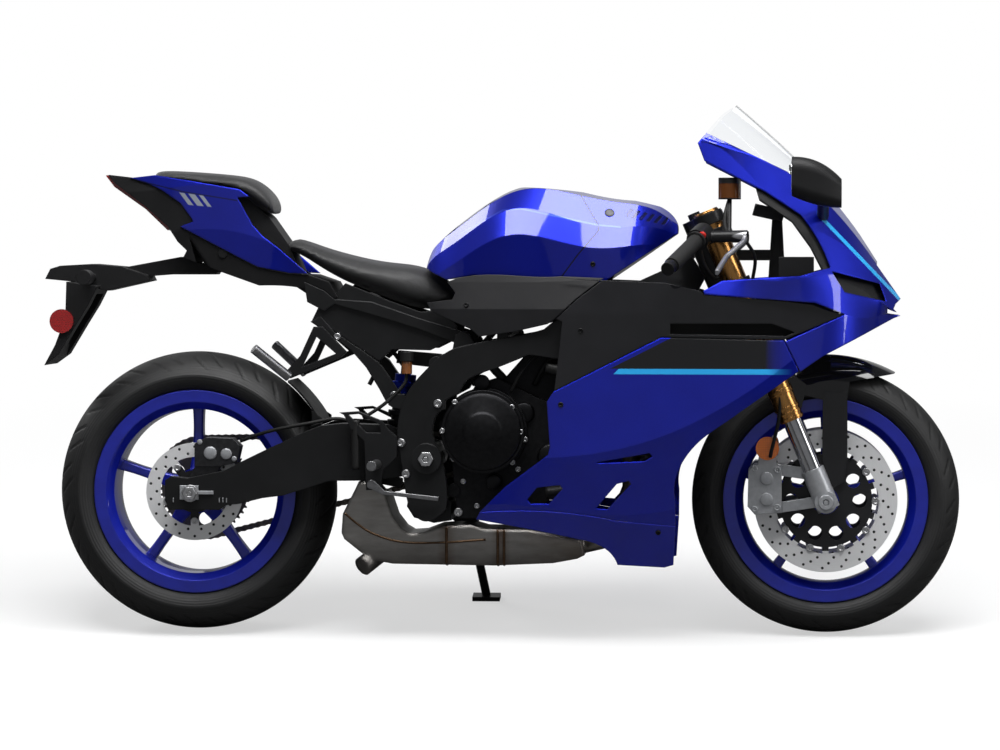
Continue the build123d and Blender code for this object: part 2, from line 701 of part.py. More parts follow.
def tail_panels():
    """Painted panels on both sides of the tail."""
    return both_sides(wall(TAIL_STATIONS, PANEL) & side_slab(TAIL_BLUE, 0, 260))


def tail_underside():
    """Dark shell that closes the tail below and behind."""
    core = hood([(x, [(0, points[0][1])] + [(y - PANEL - SEAT_GAP, z) for y, z in points])
                 for x, points in TAIL_STATIONS])
    outline = side_slab(TAIL_DARK, -200, 200)
    hollow = side_slab([(-10, 900), (110, 830), (330, 745), (330, 700), (40, 700)], -100, 100)
    perch = side_slab([(-90, 1009), (-60, 1021.6), (105, 999.6), (128, 974.6), (169.6, 934.4),
                       (215, 870), (240, 812), (147, 818), (107, 838), (-27, 908), (-4, 925),
                       (-4, 933), (-30, 967), (-74, 997)], -62, 62)
    return (core & (outline + perch)) - subframe() - hollow


def rear_lights():
    """Slim lamp across the tail and the side reflectors by the plate."""
    lamp = side_slab([(-207, 1030), (-202, 1031), (-182, 1010), (-111, 959), (-60, 910),
                      (-66, 906), (-116, 954), (-187, 1004)], -38, 38)
    reflectors = []
    for side in SIDES:
        y_low, y_high = sorted((side * 84.2, side * 92))
        reflectors.append(cross_rod(-300, 701, y_low, y_high, 27))
    return [lamp - tail_underside()] + reflectors


def plate_bracket():
    """Long arm below the tail with the plate holder and its lamp."""
    arm = side_slab([(-168, 822), (-37, 846), (52, 818), (43, 806), (-60, 806), (-125, 801)],
                    -30, 30)
    arm += side_slab([(14, 811), (58, 811), (58, 859.7), (14, 885.4)], -24, 24)
    head = side_slab([(-344, 796), (-332, 819), (-309, 826), (-236, 830), (-168, 824), (-110, 804),
                      (-104, 792), (-206, 769), (-282, 790)], -52, 52)
    blade = side_slab([(-290, 790), (-218, 780), (-241, 735), (-268, 692), (-309, 624), (-341, 601),
                       (-316, 647), (-300, 690), (-292, 726)], -84, 84)
    blade -= side_slab([(-281, 762), (-200, 762), (-230, 600), (-327, 572), (-291, 690)], -46, 46)
    wings = []
    for side in SIDES:
        wings.append(rod((-236, side * 40, 800), (-236, side * 170, 800), 9))
        wings.append(rod((-236, side * 120, 800), (-236, side * 170, 800), 17))
    body = arm + head + blade
    for wing in wings:
        body += wing
    return body


# Fairing
NOSE_STATIONS = [
    (1120, [(0, 1270), (110, 1122), (126, 1082), (214, 778), (206, 757), (232, 585)]),
    (1290, [(0, 1124), (116, 1058), (140, 986), (208, 794), (208, 752), (232, 585)]),
    (1400, [(0, 1014), (86, 986), (130, 905), (180, 804), (205, 741), (222, 585)]),
    (1450, [(0, 957), (68, 936), (112, 878), (150, 806), (190, 722), (200, 585)]),
    (1520, [(0, 860), (46, 848), (84, 820), (110, 770), (124, 712), (136, 585)]),
    (1594, [(0, 748), (18, 745), (30, 740), (36, 728), (40, 713), (46, 585)]),
]
NOSE_OUTLINE = [
    (1148, 771), (1190, 793), [(1263, 798), (1361, 804)], (1428, 822), [(1400, 884), (1362, 939)],
    (1284, 990), (1149, 1059), (1134, 1099), (1153, 1122), (1333, 1035), (1389, 984), (1441, 968),
    (1475, 929), (1535, 835), (1533, 828), (1587, 752), (1575, 741), (1570, 730), (1586, 714),
    (1571, 709), (1410, 627), (1362, 594), (1329, 660), (1460, 719), (1394, 745), (1274, 754),
    (1151, 763),
]


def nose_shell():
    """Thin shell that the upper fairing is cut from."""
    return hood(NOSE_STATIONS) - hood(NOSE_STATIONS, PANEL * 1.3)


def upper_fairing():
    """Painted nose with its shoulders, screen surround and lower beak."""
    shell = nose_shell() & side_slab(NOSE_OUTLINE, -260, 260)
    grille = side_slab([(1431, 814), (1538, 786), (1552, 747), (1460, 768)], -260, 260)
    inside = side_slab([(1380, 600), (1380, 790), (1560, 780), (1566, 700), (1500, 600)], -30, 30)
    return shell - grille - inside


def windscreen():
    """Clear double-curved screen."""
    stations = [(1120, 1272, 111, 1124), (1230, 1178, 114, 1083), (1333, 1086, 105, 1032),
                (1445, 966, 70, 942)]
    faces = []
    for x, top, half, low in stations:
        edges = [ThreePointArc((x, -half, low), (x, 0, top), (x, half, low)),
                 Line((x, half, low), (x, half - 4, low)),
                 ThreePointArc((x, half - 4, low), (x, 0, top - 4), (x, 4 - half, low)),
                 Line((x, 4 - half, low), (x, -half, low))]
        faces.append(make_face(edges))
    sheet = loft(faces)
    window = side_slab([(1153, 1122.4), (1190, 1165), (1221, 1186), (1232, 1180), (1352, 1072),
                        (1440.5, 968.6), (1389, 984.5), (1333, 1035.5)], -200, 200)
    return sheet & window


SIDE_STATIONS = [
    (630, [(192, 690), (198, 400), (188, 290), (150, 140)]),
    (800, [(206, 690), (222, 402), (204, 290), (150, 140)]),
    (1000, [(214, 690), (236, 432), (200, 276), (138, 140)]),
    (1150, [(218, 690), (240, 492), (204, 310), (130, 140)]),
    (1370, [(226, 690), (232, 640), (206, 420), (150, 140)]),
]
SIDE_OUTLINE = [
    (811, 425), (804, 526), (818, 548), (1056, 668), (1326, 662), (1358, 595), (1230, 505),
    [(1180, 470), (1142, 441), (1107, 399), (1091, 366), (1087, 311)], (1087, 250.6), (954, 262.6),
    [(832, 281.6), (743, 284.6), (653, 280)], (712, 338), (807, 409),
]
BELLY_OUTLINE = [
    (645, 263), (653, 279.4), [(743, 284), (832, 281), (954, 262)], (1087, 250), (1082, 161),
    (1062, 155), (958, 161), [(934, 196), (912, 209), (872, 220)], [(743, 246), (645, 263)],
]
VENTS = [
    [(914, 393), (1031, 414), (1038, 407), (1020, 396), (921, 391)],
    [(912, 290), (959, 345), (985, 352), (990, 345), (937, 288)],
    [(760, 309), (782, 336), (833, 342), (839, 334), (808, 300), (768, 300)],
]


def side_fairings():
    """Painted side panels with the crease and the three air vents."""
    panel = wall(SIDE_STATIONS, PANEL) & side_slab(SIDE_OUTLINE, 0, 300)
    for vent in VENTS:
        panel -= side_slab(vent, 100, 300)
    return both_sides(panel)


def belly_pan():
    """Lower panels below the seam, joined across the bottom."""
    side = wall(SIDE_STATIONS, PANEL) & side_slab(BELLY_OUTLINE, 0, 300)
    return both_sides(side)


INFILL_STATIONS = [
    (800, [(180, 820), (198, 720), (204, 520)]),
    (1050, [(192, 820), (204, 720), (208, 520)]),
    (1250, [(196, 820), (202, 720), (212, 520)]),
    (1470, [(150, 820), (180, 720), (200, 520)]),
]
INFILL_OUTLINE = [
    (839, 798), (1064, 789), (1142, 771), (1151, 762), (1274, 752), (1394, 743), (1456, 718),
    (1326, 664), (1056, 670), (820, 550), (832, 652), (837, 703), (824, 709),
    (868, 751), (922, 792),
]


def fairing_infill():
    """Dark gloss panels above the painted side panels, with the long duct slot."""
    panel = wall(INFILL_STATIONS, PANEL) & side_slab(INFILL_OUTLINE, 0, 300)
    panel -= side_slab([(1076, 676), (1076, 699), (1300, 699), (1350, 680), (1330, 672)], 0, 300)
    return both_sides(panel)


def cockpit_panel():
    """Inner panels of the nose with the instrument pod."""
    pod = side_slab([(1255, 940), (1262, 965), (1330, 950), (1322, 925)], -75, 75)
    post = side_slab([(1290, 780), (1300, 945), (1322, 930), (1330, 780)], -20, 20)
    inside = hood(NOSE_STATIONS, PANEL * 1.3 + SEAT_GAP)
    floor = side_slab([(1312, 770), (1312, 784), (1400, 784), (1440, 770)], -240, 240)
    for side in SIDES:
        floor += side_slab([(1314, 780), (1314, 846), (1392, 846), (1392, 780)],
                           *sorted((side * 150, side * 154)))
    lip = inside - hood(NOSE_STATIONS, PANEL * 1.3 + 4)
    lip &= side_slab([(1262, 1001), (1290, 989), (1364, 940), (1402, 886), (1430, 821),
                      (1417, 806), (1386, 866), (1344, 924), (1270, 974)], -240, 240)
    mesh = hood(NOSE_STATIONS, 14) - hood(NOSE_STATIONS, 17)
    mesh &= side_slab([(1404, 776), (1424, 822), (1545, 792), (1560, 740), (1452, 758),
                       (1420, 772)], -240, 240)
    stay = side_slab([(1150, 838), (1150, 862), (1310, 862), (1310, 838)], -13, 13)
    stay -= fork_rod(0, HEAD_LOW - 20, HEAD_HIGH + 20, 34.3, -CLAMP_OFFSET)
    stay = Compound([max(stay.solids(), key=lambda solid: solid.center().X)])
    return [(pod + post + stay + (floor & inside) + mesh)] + list(lip.solids())


def headlamp():
    """Projector lamp in the middle of the nose duct."""
    body = rod((1440, 0, 750), (1545, 0, 735), 26)
    return body + side_slab([(1420, 769.7), (1440, 769.7), (1470, 750), (1445, 745)], -12, 12)


def mirrors():
    """Pods on short stems at the sides of the screen."""
    faces = []
    for x, z, width, height in ((1342, 1021, 118, 84), (1398, 1006, 114, 94),
                                (1450, 984, 66, 62)):
        plane = Plane(origin=(x, 291, z), x_dir=(0, 1, 0), z_dir=(1, 0, 0))
        faces.append(plane * RectangleRounded(width, height, height * 0.3))
    pod = loft(faces)
    stem = rod((1412, 96, 936), (1412, 262, 990), 13) - hood(NOSE_STATIONS, -SEAT_GAP)
    return both_sides(pod + stem)


# Foot controls and hangers
def peg_brackets():
    """Heel plates behind the frame and the triangular pillion hangers."""
    plate = side_slab([(338, 499), (380, 502), (433, 481), (447, 463), (466.6, 446), (466.6, 400),
                       (436, 372), (430, 328), (398, 326), (396, 380), (394, 436), (364, 463),
                       (348, 494)], 150, 166)
    plate -= side_slab([(358, 494), (382, 496), (428, 473), (431, 454), (398, 455)], 140, 180)
    hanger = side_slab([(278, 690), (298, 690), (352, 634), (340, 622), (226, 574), (216, 590),
                        (248, 625)], 128.3, 144)
    hanger -= side_slab([(284, 668), (328, 630), (252, 600)], 120, 150)
    return both_sides(plate) + both_sides(hanger)


def foot_pegs():
    """Rider pegs, folded pillion pegs, brake pedal and shift lever."""
    pieces = []
    for side in SIDES:
        pieces.append(rod((422, side * 166.8, 384), (418, side * 250, 384), 11))
        pieces.append(rod((224, side * 154.6, 578), (150, side * 192, 642), 11))
        lever = side_slab([(402, 335), (417, 349), (441, 326), (562, 313), (560, 304), (436, 318)],
                          180, 188)
        lever += cross_rod(412, 340, 166.2, 188, 10)
        pieces.append(on_side(side, lever))
    return pieces


# Steering
def clamp_plate(low):
    """Clamp across both fork tubes and the steering stem."""
    plane = FORK_PLANE * Plane((0, 0, low))
    flat = Pos(0, FORK_HALF_SPACING) * Circle(34) + Pos(0, -FORK_HALF_SPACING) * Circle(34)
    flat += Pos(-CLAMP_OFFSET, 0) * Circle(32)
    flat += make_face(Polyline((16, FORK_HALF_SPACING), (-32, FORK_HALF_SPACING),
                               (-CLAMP_OFFSET - 28, 0), (-32, -FORK_HALF_SPACING),
                               (16, -FORK_HALF_SPACING), (2, 0), close=True))
    for side in SIDES:
        flat -= Pos(0, side * FORK_HALF_SPACING) * Circle(OUTER_TUBE_RADIUS + SLIDE_GAP)
    return extrude(plane * flat, amount=CLAMP_THICKNESS)


def triple_clamps():
    body = clamp_plate(BOTTOM_CLAMP_AT) + clamp_plate(TOP_CLAMP_AT)
    return body + fork_rod(0, BOTTOM_CLAMP_AT + 2, TOP_CLAMP_AT + 40, STEM_RADIUS, -CLAMP_OFFSET)


def fork_outer_tubes():
    tubes = []
    for side in SIDES:
        tube = fork_rod(side * FORK_HALF_SPACING, OUTER_TUBE_START, FORK_TOP, OUTER_TUBE_RADIUS)
        hole = fork_rod(side * FORK_HALF_SPACING, OUTER_TUBE_START - 5, 420,
                        INNER_TUBE_RADIUS + SLIDE_GAP)
        tubes.append(tube - hole)
    return tubes


def fork_inner_tubes():
    return [fork_rod(side * FORK_HALF_SPACING, 52, 418, INNER_TUBE_RADIUS) for side in SIDES]


def axle_castings():
    """Axle clamps at the fork's feet, the caliper arms and the hollow axle."""
    body = cross_rod(FRONT.x, FRONT.z, -132, 132, FRONT_AXLE_RADIUS)
    for side in SIDES:
        foot = fork_rod(side * FORK_HALF_SPACING, -18, 78, 26)
        foot += cross_rod(FRONT.x, FRONT.z, *sorted((side * 83, side * 128)), 25)
        arm = side_slab([(1322, 384), (1386, 374), (1392, 348), (1322, 358)], 86, 103)
        arm += side_slab([(1322, 300), (1412, 314), (1412, 290), (1322, 276)], 86, 103)
        foot += on_side(side, arm)
        body += foot - fork_rod(side * FORK_HALF_SPACING, 51.8, 130, INNER_TUBE_RADIUS + SLIDE_GAP)
        body += cross_rod(FRONT.x, FRONT.z, *sorted((side * 66.5, side * 88)), 18)
    return body - cross_rod(FRONT.x, FRONT.z, -140, 140, FRONT_AXLE_BORE)


def front_calipers():
    """Radial calipers that straddle the discs behind the fork."""
    block = side_slab([(1248, 372), (1262, 384), (1321.8, 384), (1321.8, 276), (1262, 272),
                       (1246, 290)], 46, 112)
    slot = cross_rod(FRONT.x, FRONT.z, FRONT_DISC_HALF_SPACING - 5, FRONT_DISC_HALF_SPACING + 5,
                     FRONT_DISC_RADIUS + 6)
    plate = side_slab([(1268, 376), (1312, 376), (1304, 440), (1276, 440)], 104, 112)
    return both_sides((block - slot) + plate)


def front_fender():
    """Curved guard over the front tyre with legs down to the fork."""
    def at(y, radius):
        return (FRONT.x, y, FRONT.z + radius)

    profile = make_face([
        ThreePointArc(at(-74, 262), at(0, 326), at(74, 262)),
        Line(at(74, 262), at(74, 214)),
        Line(at(74, 214), at(70, 214)),
        Line(at(70, 214), at(70, 262)),
        ThreePointArc(at(70, 262), at(0, 322), at(-70, 262)),
        Line(at(-70, 262), at(-70, 214)),
        Line(at(-70, 214), at(-74, 214)),
        Line(at(-74, 214), at(-74, 262)),
    ])
    hoop = revolve(profile, Axis((FRONT.x, 0, FRONT.z), (0, 1, 0)), 360)
    window = side_slab([(1351, 577), (1360, 640), (1470, 660), (1590, 600), (1573, 584),
                        (1531, 577), (1473, 567), (1466, 518), (1433, 522),
                        (1360, 540)], -90, 90)
    lug = side_slab([(1308, 520), (1365, 505), (1378, 560), (1352, 580), (1316, 566)], 70, 77.7)
    guard = side_slab([(1413, 528), (1468, 528), (1468, 400), (1462, 345), (1440, 331),
                       (1419, 345), (1412, 400)], 76, 82)
    guard += side_slab([(1416, 516), (1466, 516), (1466, 545), (1416, 545)], 70, 82)
    feet = lug + guard
    return (hoop & window) + feet + mirror(feet, about=Plane.XZ)


def bar_point(y):
    """Middle of the right handlebar at a distance from the bike's middle."""
    return (1133 - 0.392 * (y - 200), -y, 881 - 0.408 * (y - 200))


BAR_CLAMP_AT = 628.0


def handlebars():
    """Clip-on bars: a clamp round each fork tube and a drooping tube with its end weight."""
    bar = rod(bar_point(139), bar_point(345), 11)
    bar += rod(bar_point(332), bar_point(352), 15)
    clamp = fork_rod(-FORK_HALF_SPACING, BAR_CLAMP_AT, BAR_CLAMP_AT + 28, 38)
    body = bar + clamp
    body -= fork_rod(-FORK_HALF_SPACING, BAR_CLAMP_AT - 40, BAR_CLAMP_AT + 80,
                     OUTER_TUBE_RADIUS + SLIDE_GAP)
    return both_sides(body)


def grips():
    grip = rod(bar_point(202), bar_point(330), 17) + rod(bar_point(198), bar_point(204), 22)
    return both_sides(grip - rod(bar_point(150), bar_point(345), 11 + SLIDE_GAP))


def bar_controls():
    """Switch housings, lever perches, levers and the fluid reservoir."""
    hollow = rod(bar_point(120), bar_point(345), 11 + SLIDE_GAP)
    house = rod(bar_point(158), bar_point(196), 25)
    perch = rod((1150, -172, 890), (1245, -186, 892), 13)
    lever = tube_along([(1240, -188, 888), (1238, -225, 880), (1200, -280, 846),
                        (1180, -345, 812)], 6, 12)
    right = (house + perch + lever) - hollow
    cup = rod((1205, -98, 974), (1205, -98, 1022), 25)
    cup += rod((1205, -176, 893), (1205, -98, 980), 5)
    return [right + cup, mirror(right, about=Plane.XZ)]


def fork_reflectors():
    pieces = []
    for side in SIDES:
        y_low, y_high = sorted((side * 112.2, side * 120))
        pieces.append(cross_rod(1290, 420, y_low, y_high, 26))
    return pieces


# Side stand
def side_stand():
    """Leg from its head on the pin to a flat foot on the floor."""
    head = rod(tuple(stand_point - STAND_HINGE * STAND_HEAD_HALF),
               tuple(stand_point + STAND_HINGE * STAND_HEAD_HALF), 20)
    leg = rod(tuple(stand_point + STAND_DOWN * 12), tuple(foot_point + Vector(0, 0, 8)), 10)
    pad = Pos(*foot_point) * Rot(LEAN, 0, 0) * Pos(0, 0, 5) * Box(64, 42, 10)
    bore = rod(tuple(stand_point - STAND_HINGE * 40), tuple(stand_point + STAND_HINGE * 40),
               STAND_PIN_RADIUS + SLIDE_GAP)
    return (head + leg + pad) - bore


NODES = {
    "main_frame": main_frame,
    "subframe": subframe,
    "engine_block": engine_block,
    "engine_covers": engine_covers,
    "radiator": radiator,
    "exhaust": exhaust,
    "swingarm": swingarm,
    "pivot_bolt": pivot_bolt,
    "rear_axle": rear_axle,
    "rear_shock": rear_shock,
    "chain": chain,
    "rear_hugger": rear_hugger,
    "rear_caliper": rear_caliper,
    "fuel_tank": fuel_tank,
    "tank_side_covers": tank_side_covers,
    "rider_seat": rider_seat,
    "pillion_seat": pillion_seat,
    "tail_panels": tail_panels,
    "tail_underside": tail_underside,
    "rear_lights": rear_lights,
    "plate_bracket": plate_bracket,
    "upper_fairing": upper_fairing,
    "windscreen": windscreen,
    "cockpit_panel": cockpit_panel,
    "headlamp": headlamp,
    "side_fairings": side_fairings,
    "belly_pan": belly_pan,
    "fairing_infill": fairing_infill,
    "mirrors": mirrors,
    "peg_brackets": peg_brackets,
    "foot_pegs": foot_pegs,
    "triple_clamps": triple_clamps,
    "fork_outer_tubes": fork_outer_tubes,
    "fork_inner_tubes": fork_inner_tubes,
    "axle_castings": axle_castings,
    "front_calipers": front_calipers,
    "front_fender": front_fender,
    "handlebars": handlebars,
    "grips": grips,
    "bar_controls": bar_controls,
    "fork_reflectors": fork_reflectors,
    "front_tyre": lambda: tyre(FRONT),
    "front_rim": lambda: rim(FRONT),
    "front_discs": lambda: [front_disc(side) for side in SIDES],
    "rear_tyre": lambda: tyre(REAR),
    "rear_rim": lambda: rim(REAR),
    "rear_disc": rear_disc,
    "rear_sprocket": rear_sprocket,
    "side_stand": side_stand,
}


def lean(shape):
    """Lay the bike over on its stand, about the line where its wheels meet the floor."""
    return shape.rotate(Axis.X, -LEAN)


def build_all():
    """Every node's solids, leaning on the stand, with the box's bottom middle at the origin."""
    nodes = {}
    for name, make in NODES.items():
        nodes[name] = [lean(solid) for solid in solids_of(make())]
    whole = Compound([solid for solids in nodes.values() for solid in solids]).bounding_box()
    shift = Pos(-(whole.min.X + whole.max.X) / 2, -(whole.min.Y + whole.max.Y) / 2, -whole.min.Z)
    placed = {name: [shift * solid for solid in solids] for name, solids in nodes.items()}
    return placed, shift


if __name__ == "__main__":
    os.makedirs("parts", exist_ok=True)
    pieces, _ = build_all()
    for name, solids in pieces.items():
        export_step(Compound(label=name, children=solids), f"parts/{name}.step")
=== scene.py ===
# %% [markdown]
# The bike's rigid parts are CAD solids that were packed into one fixed model.
# This script dresses that model: it gives every part a finish and adds what
# is too fine for the solids, such as tread, chain links, screws and hoses.

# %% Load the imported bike
import json
import math

import bpy
import numpy as np
from mathutils import Matrix, Vector


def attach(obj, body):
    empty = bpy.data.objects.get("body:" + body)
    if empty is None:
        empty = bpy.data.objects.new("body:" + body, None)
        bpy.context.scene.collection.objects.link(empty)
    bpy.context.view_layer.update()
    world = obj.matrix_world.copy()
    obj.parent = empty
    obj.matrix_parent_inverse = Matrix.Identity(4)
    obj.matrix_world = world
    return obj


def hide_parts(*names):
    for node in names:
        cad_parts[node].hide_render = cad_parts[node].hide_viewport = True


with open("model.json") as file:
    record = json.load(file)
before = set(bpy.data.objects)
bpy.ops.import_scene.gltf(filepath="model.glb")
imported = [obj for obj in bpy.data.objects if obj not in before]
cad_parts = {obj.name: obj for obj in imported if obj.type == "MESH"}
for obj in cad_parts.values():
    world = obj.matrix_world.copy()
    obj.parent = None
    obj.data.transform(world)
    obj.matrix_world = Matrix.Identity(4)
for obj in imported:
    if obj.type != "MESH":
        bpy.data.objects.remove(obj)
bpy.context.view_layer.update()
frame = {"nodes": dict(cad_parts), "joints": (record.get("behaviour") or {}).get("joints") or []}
print("CAD nodes:", len(frame["nodes"]))

# %% [markdown]
# The bike leans ten degrees on its side stand, which makes places hard to
# read. All places here are given for the upright bike in millimetres, with
# x forward from the rear axle, y to the rider's left and z up from the
# ground. One matrix then leans them and puts them where the model stands.

# %% Places on the upright bike
LEAN = math.radians(10)
WHEELBASE = 1420
REAR_WHEEL = {"name": "rear", "x": 0, "radius": 315, "width": 180, "crown": 103, "bead": 70}
FRONT_WHEEL = {"name": "front", "x": WHEELBASE, "radius": 300, "width": 120, "crown": 64,
               "bead": 44.5}
for wheel in (REAR_WHEEL, FRONT_WHEEL):
    wheel["z"] = wheel["radius"] + wheel["crown"] * (1 / math.cos(LEAN) - 1)

joints = {joint["name"]: joint for joint in frame["joints"]}
leaned_axle = Matrix.Rotation(-LEAN, 3, "X") @ Vector((0, 0, REAR_WHEEL["z"] / 1000))
SHIFT = Vector(joints["rear_wheel_spin"]["pos_m"]) - leaned_axle
STAND_UP = Matrix.Rotation(LEAN, 4, "X") @ Matrix.Translation(-SHIFT)
LEAN_OVER = STAND_UP.inverted()


def at(x, y, z):
    """Place on the upright bike, in millimetres, as a place in the scene."""
    return LEAN_OVER @ (Vector((x, y, z)) / 1000)


def toward(x, y, z):
    """Direction on the upright bike as a direction in the scene."""
    return (LEAN_OVER.to_3x3() @ Vector((x, y, z))).normalized()


print("shift of the model in metres:", [round(v, 4) for v in SHIFT])

# %% [markdown]
# The photograph is taken from far away with a long lens, almost square to the
# right side, so near and far parts have nearly the same scale. The camera
# stands nine metres from the bike, 850 mm above its ground line, and leans
# with the bike so that the bike looks upright, as it does in the photograph.

# %% Camera
CAMERA_DISTANCE = 9042
CAMERA_HEIGHT = 850
CAMERA_YAW = 0.06857
AIM_X = 685.7
PICTURE_WIDTH = 1000  # in pixels, as are the next two
FOCAL_LENGTH = 3995.5
HORIZON_SHIFT = 119.9
SENSOR_WIDTH = 36

pitch = math.atan(HORIZON_SHIFT / FOCAL_LENGTH)
side, ahead = math.cos(CAMERA_YAW), math.sin(CAMERA_YAW)
look = Vector((-ahead, side, 0)) * math.cos(pitch) - Vector((0, 0, 1)) * math.sin(pitch)
right = Vector((side, ahead, 0))
turn = Matrix((right, right.cross(look), -look)).transposed().to_4x4()
stand = Vector((AIM_X + CAMERA_DISTANCE * ahead, -CAMERA_DISTANCE * side, CAMERA_HEIGHT)) / 1000
lens = bpy.data.cameras.new("camera")
lens.sensor_width = SENSOR_WIDTH
lens.lens = SENSOR_WIDTH * FOCAL_LENGTH / PICTURE_WIDTH / math.cos(pitch)
lens.clip_end = 200
camera = bpy.data.objects.new("camera", lens)
bpy.context.scene.collection.objects.link(camera)
camera.matrix_world = LEAN_OVER @ Matrix.Translation(stand) @ turn
bpy.context.scene.camera = camera
print("lens:", round(lens.lens, 1), "mm")

# %% [markdown]
# Finishes are node trees. To write them as plain formulas, a small class
# holds one socket, and its operators add Math nodes. Every other node is
# made by one method, which takes the node's type, its settings and the
# values or links of its sockets.


# %% Finishes as formulas
def math_node(operation, swapped=False):
    """A method of a wire that adds one Math node."""
    def method(self, other=0.0):
        a, b = (other, self) if swapped else (self, other)
        return self.finish.node("ShaderNodeMath", {"operation": operation}, {0: a, 1: b})
    return method


class Wire:
    """One output socket, used like a number."""

    def __init__(self, finish, socket):
        self.finish = finish
        self.socket = socket

    __add__ = __radd__ = math_node("ADD")
    __sub__ = math_node("SUBTRACT")
    __rsub__ = math_node("SUBTRACT", swapped=True)
    __mul__ = __rmul__ = math_node("MULTIPLY")
    __pow__ = math_node("POWER")
    __abs__ = math_node("ABSOLUTE")
    least = math_node("MINIMUM")
    most = math_node("MAXIMUM")
    sine = math_node("SINE")
    angle_from = math_node("ARCTAN2")
    back_and_forth = math_node("PINGPONG")  # rises to a reach and falls to 0 again and again

    def rise(self, low, high):
        """0 up to low and 1 from high on, with a straight slope between."""
        return self.finish.node("ShaderNodeMapRange", {"clamp": True},
                                {"Value": self, "From Min": low, "From Max": high})

    def within(self, low, high, soft):
        """1 between low and high, with slopes of a given width inside them."""
        return self.rise(low, low + soft) * self.rise(high, high - soft)


class Finish:
    """A material with one Principled shader and the upright bike's coordinates."""

    def __init__(self, name):
        self.material = bpy.data.materials.new(name)
        self.material.use_nodes = True
        self.tree = self.material.node_tree
        self.tree.nodes.clear()
        self.shader = self.tree.nodes.new("ShaderNodeBsdfPrincipled")
        self.out = self.tree.nodes.new("ShaderNodeOutputMaterial")
        self.tree.links.new(self.shader.outputs[0], self.out.inputs[0])
        coordinates = self.node("ShaderNodeTexCoord", {}, {}, "Object")
        self.place = self.node("ShaderNodeMapping", {}, {
            "Vector": coordinates, "Location": STAND_UP.to_translation() * 1000,
            "Rotation": (LEAN, 0, 0), "Scale": (1000, 1000, 1000)})
        self.x = self.node("ShaderNodeSeparateXYZ", {}, {0: self.place})
        self.y, self.z = [Wire(self, self.x.socket.node.outputs[i]) for i in (1, 2)]

    def node(self, kind, settings, values, output=0):
        made = self.tree.nodes.new(kind)
        for key, value in settings.items():
            setattr(made, key, value)
        for key, value in values.items():
            self.feed(made.inputs[key], value)
        return Wire(self, made.outputs[output])

    def feed(self, socket, value):
        if isinstance(value, Wire):
            self.tree.links.new(value.socket, socket)
        elif socket.type == "RGBA":
            socket.default_value = (*value, 1)[:4]
        else:
            socket.default_value = value

    def noise(self, size, detail=2.0, rough=0.5, stretch=(1, 1, 1)):
        """Soft noise, 0 to 1, whose blots are about size millimetres wide."""
        where = self.node("ShaderNodeMapping", {}, {"Vector": self.place, "Scale": stretch})
        return self.node("ShaderNodeTexNoise", {}, {
            "Vector": where, "Scale": 1 / size, "Detail": detail, "Roughness": rough})

    def grain(self, size):
        """Cells like leather or cast grain, as the distance from cell centres."""
        return self.node("ShaderNodeTexVoronoi", {}, {"Vector": self.place, "Scale": 1 / size})

    def blend(self, share, a, b):
        return self.node("ShaderNodeMix", {"data_type": "RGBA"}, {0: share, 6: a, 7: b}, 2)

    def bump(self, height, distance, edge=0.0):
        """Relief: height 1 stands for distance millimetres, on edges rounded by a radius."""
        values = {"Height": height, "Distance": distance / 1000, "Strength": 1.0}
        if edge:
            values["Normal"] = self.node("ShaderNodeBevel", {"samples": 6},
                                         {"Radius": edge / 1000})
        return self.node("ShaderNodeBump", {}, values)

    def set(self, **values):
        for key, value in values.items():
            self.feed(self.shader.inputs[key.replace("_", " ")], value)

    def from_line(self, x, z):
        """Distance from a line that runs straight across the bike."""
        dx, dz = self.x - x, self.z - z
        return (dx * dx + dz * dz) ** 0.5

    def above(self, x1, z1, x2, z2):
        """Height above the line through two places on the side of the bike."""
        slope = (z2 - z1) / (x2 - x1)
        return self.z - self.x * slope - (z1 - slope * x1)

    def stroke(self, points, width):
        """Mask of a drawn line through places on the side of the bike."""
        near = None
        for (x1, z1), (x2, z2) in zip(points, points[1:]):
            dx, dz = x2 - x1, z2 - z1
            reach = dx * dx + dz * dz
            along = (self.x - x1) * (dx / reach) + (self.z - z1) * (dz / reach)
            along = along.most(0).least(1)
            off_x = self.x - x1 - along * dx
            off_z = self.z - z1 - along * dz
            distance = (off_x * off_x + off_z * off_z) ** 0.5
            near = distance if near is None else near.least(distance)
        return near.rise(width / 2 + 0.4, width / 2 - 0.4)


print("wires and finishes are ready")

# %% [markdown]
# The blue is a metallic paint: fine flakes under a deep clear coat. The
# flakes are tiny cells that lighten the colour a little, and the coat is the
# shader's own, so the highlights stay sharp on top of a soft metal base.

# %% Blue metallic paint
DEEP_BLUE = (0.002, 0.006, 0.26)
BRIGHT_BLUE = (0.008, 0.026, 0.7)
STRIPE_CYAN = (0.02, 0.38, 0.8)
INK_BLACK = (0.005, 0.005, 0.006)
PAINT_METAL = 0.75
PAINT_ROUGHNESS = 0.34
PANEL_EDGE = 5


def metallic_paint(name):
    finish = Finish(name)
    flakes = finish.grain(0.7).rise(0.0, 0.8)
    cloud = finish.noise(90, 1)
    finish.colour = finish.blend(flakes * 0.35 + cloud * 0.3, DEEP_BLUE, BRIGHT_BLUE)
    peel = finish.noise(3.5, 1)
    finish.set(Base_Color=finish.colour, Metallic=PAINT_METAL, Roughness=PAINT_ROUGHNESS,
               Coat_Weight=1.0, Coat_Roughness=0.03, Normal=finish.bump(peel, 0.03, PANEL_EDGE))
    return finish


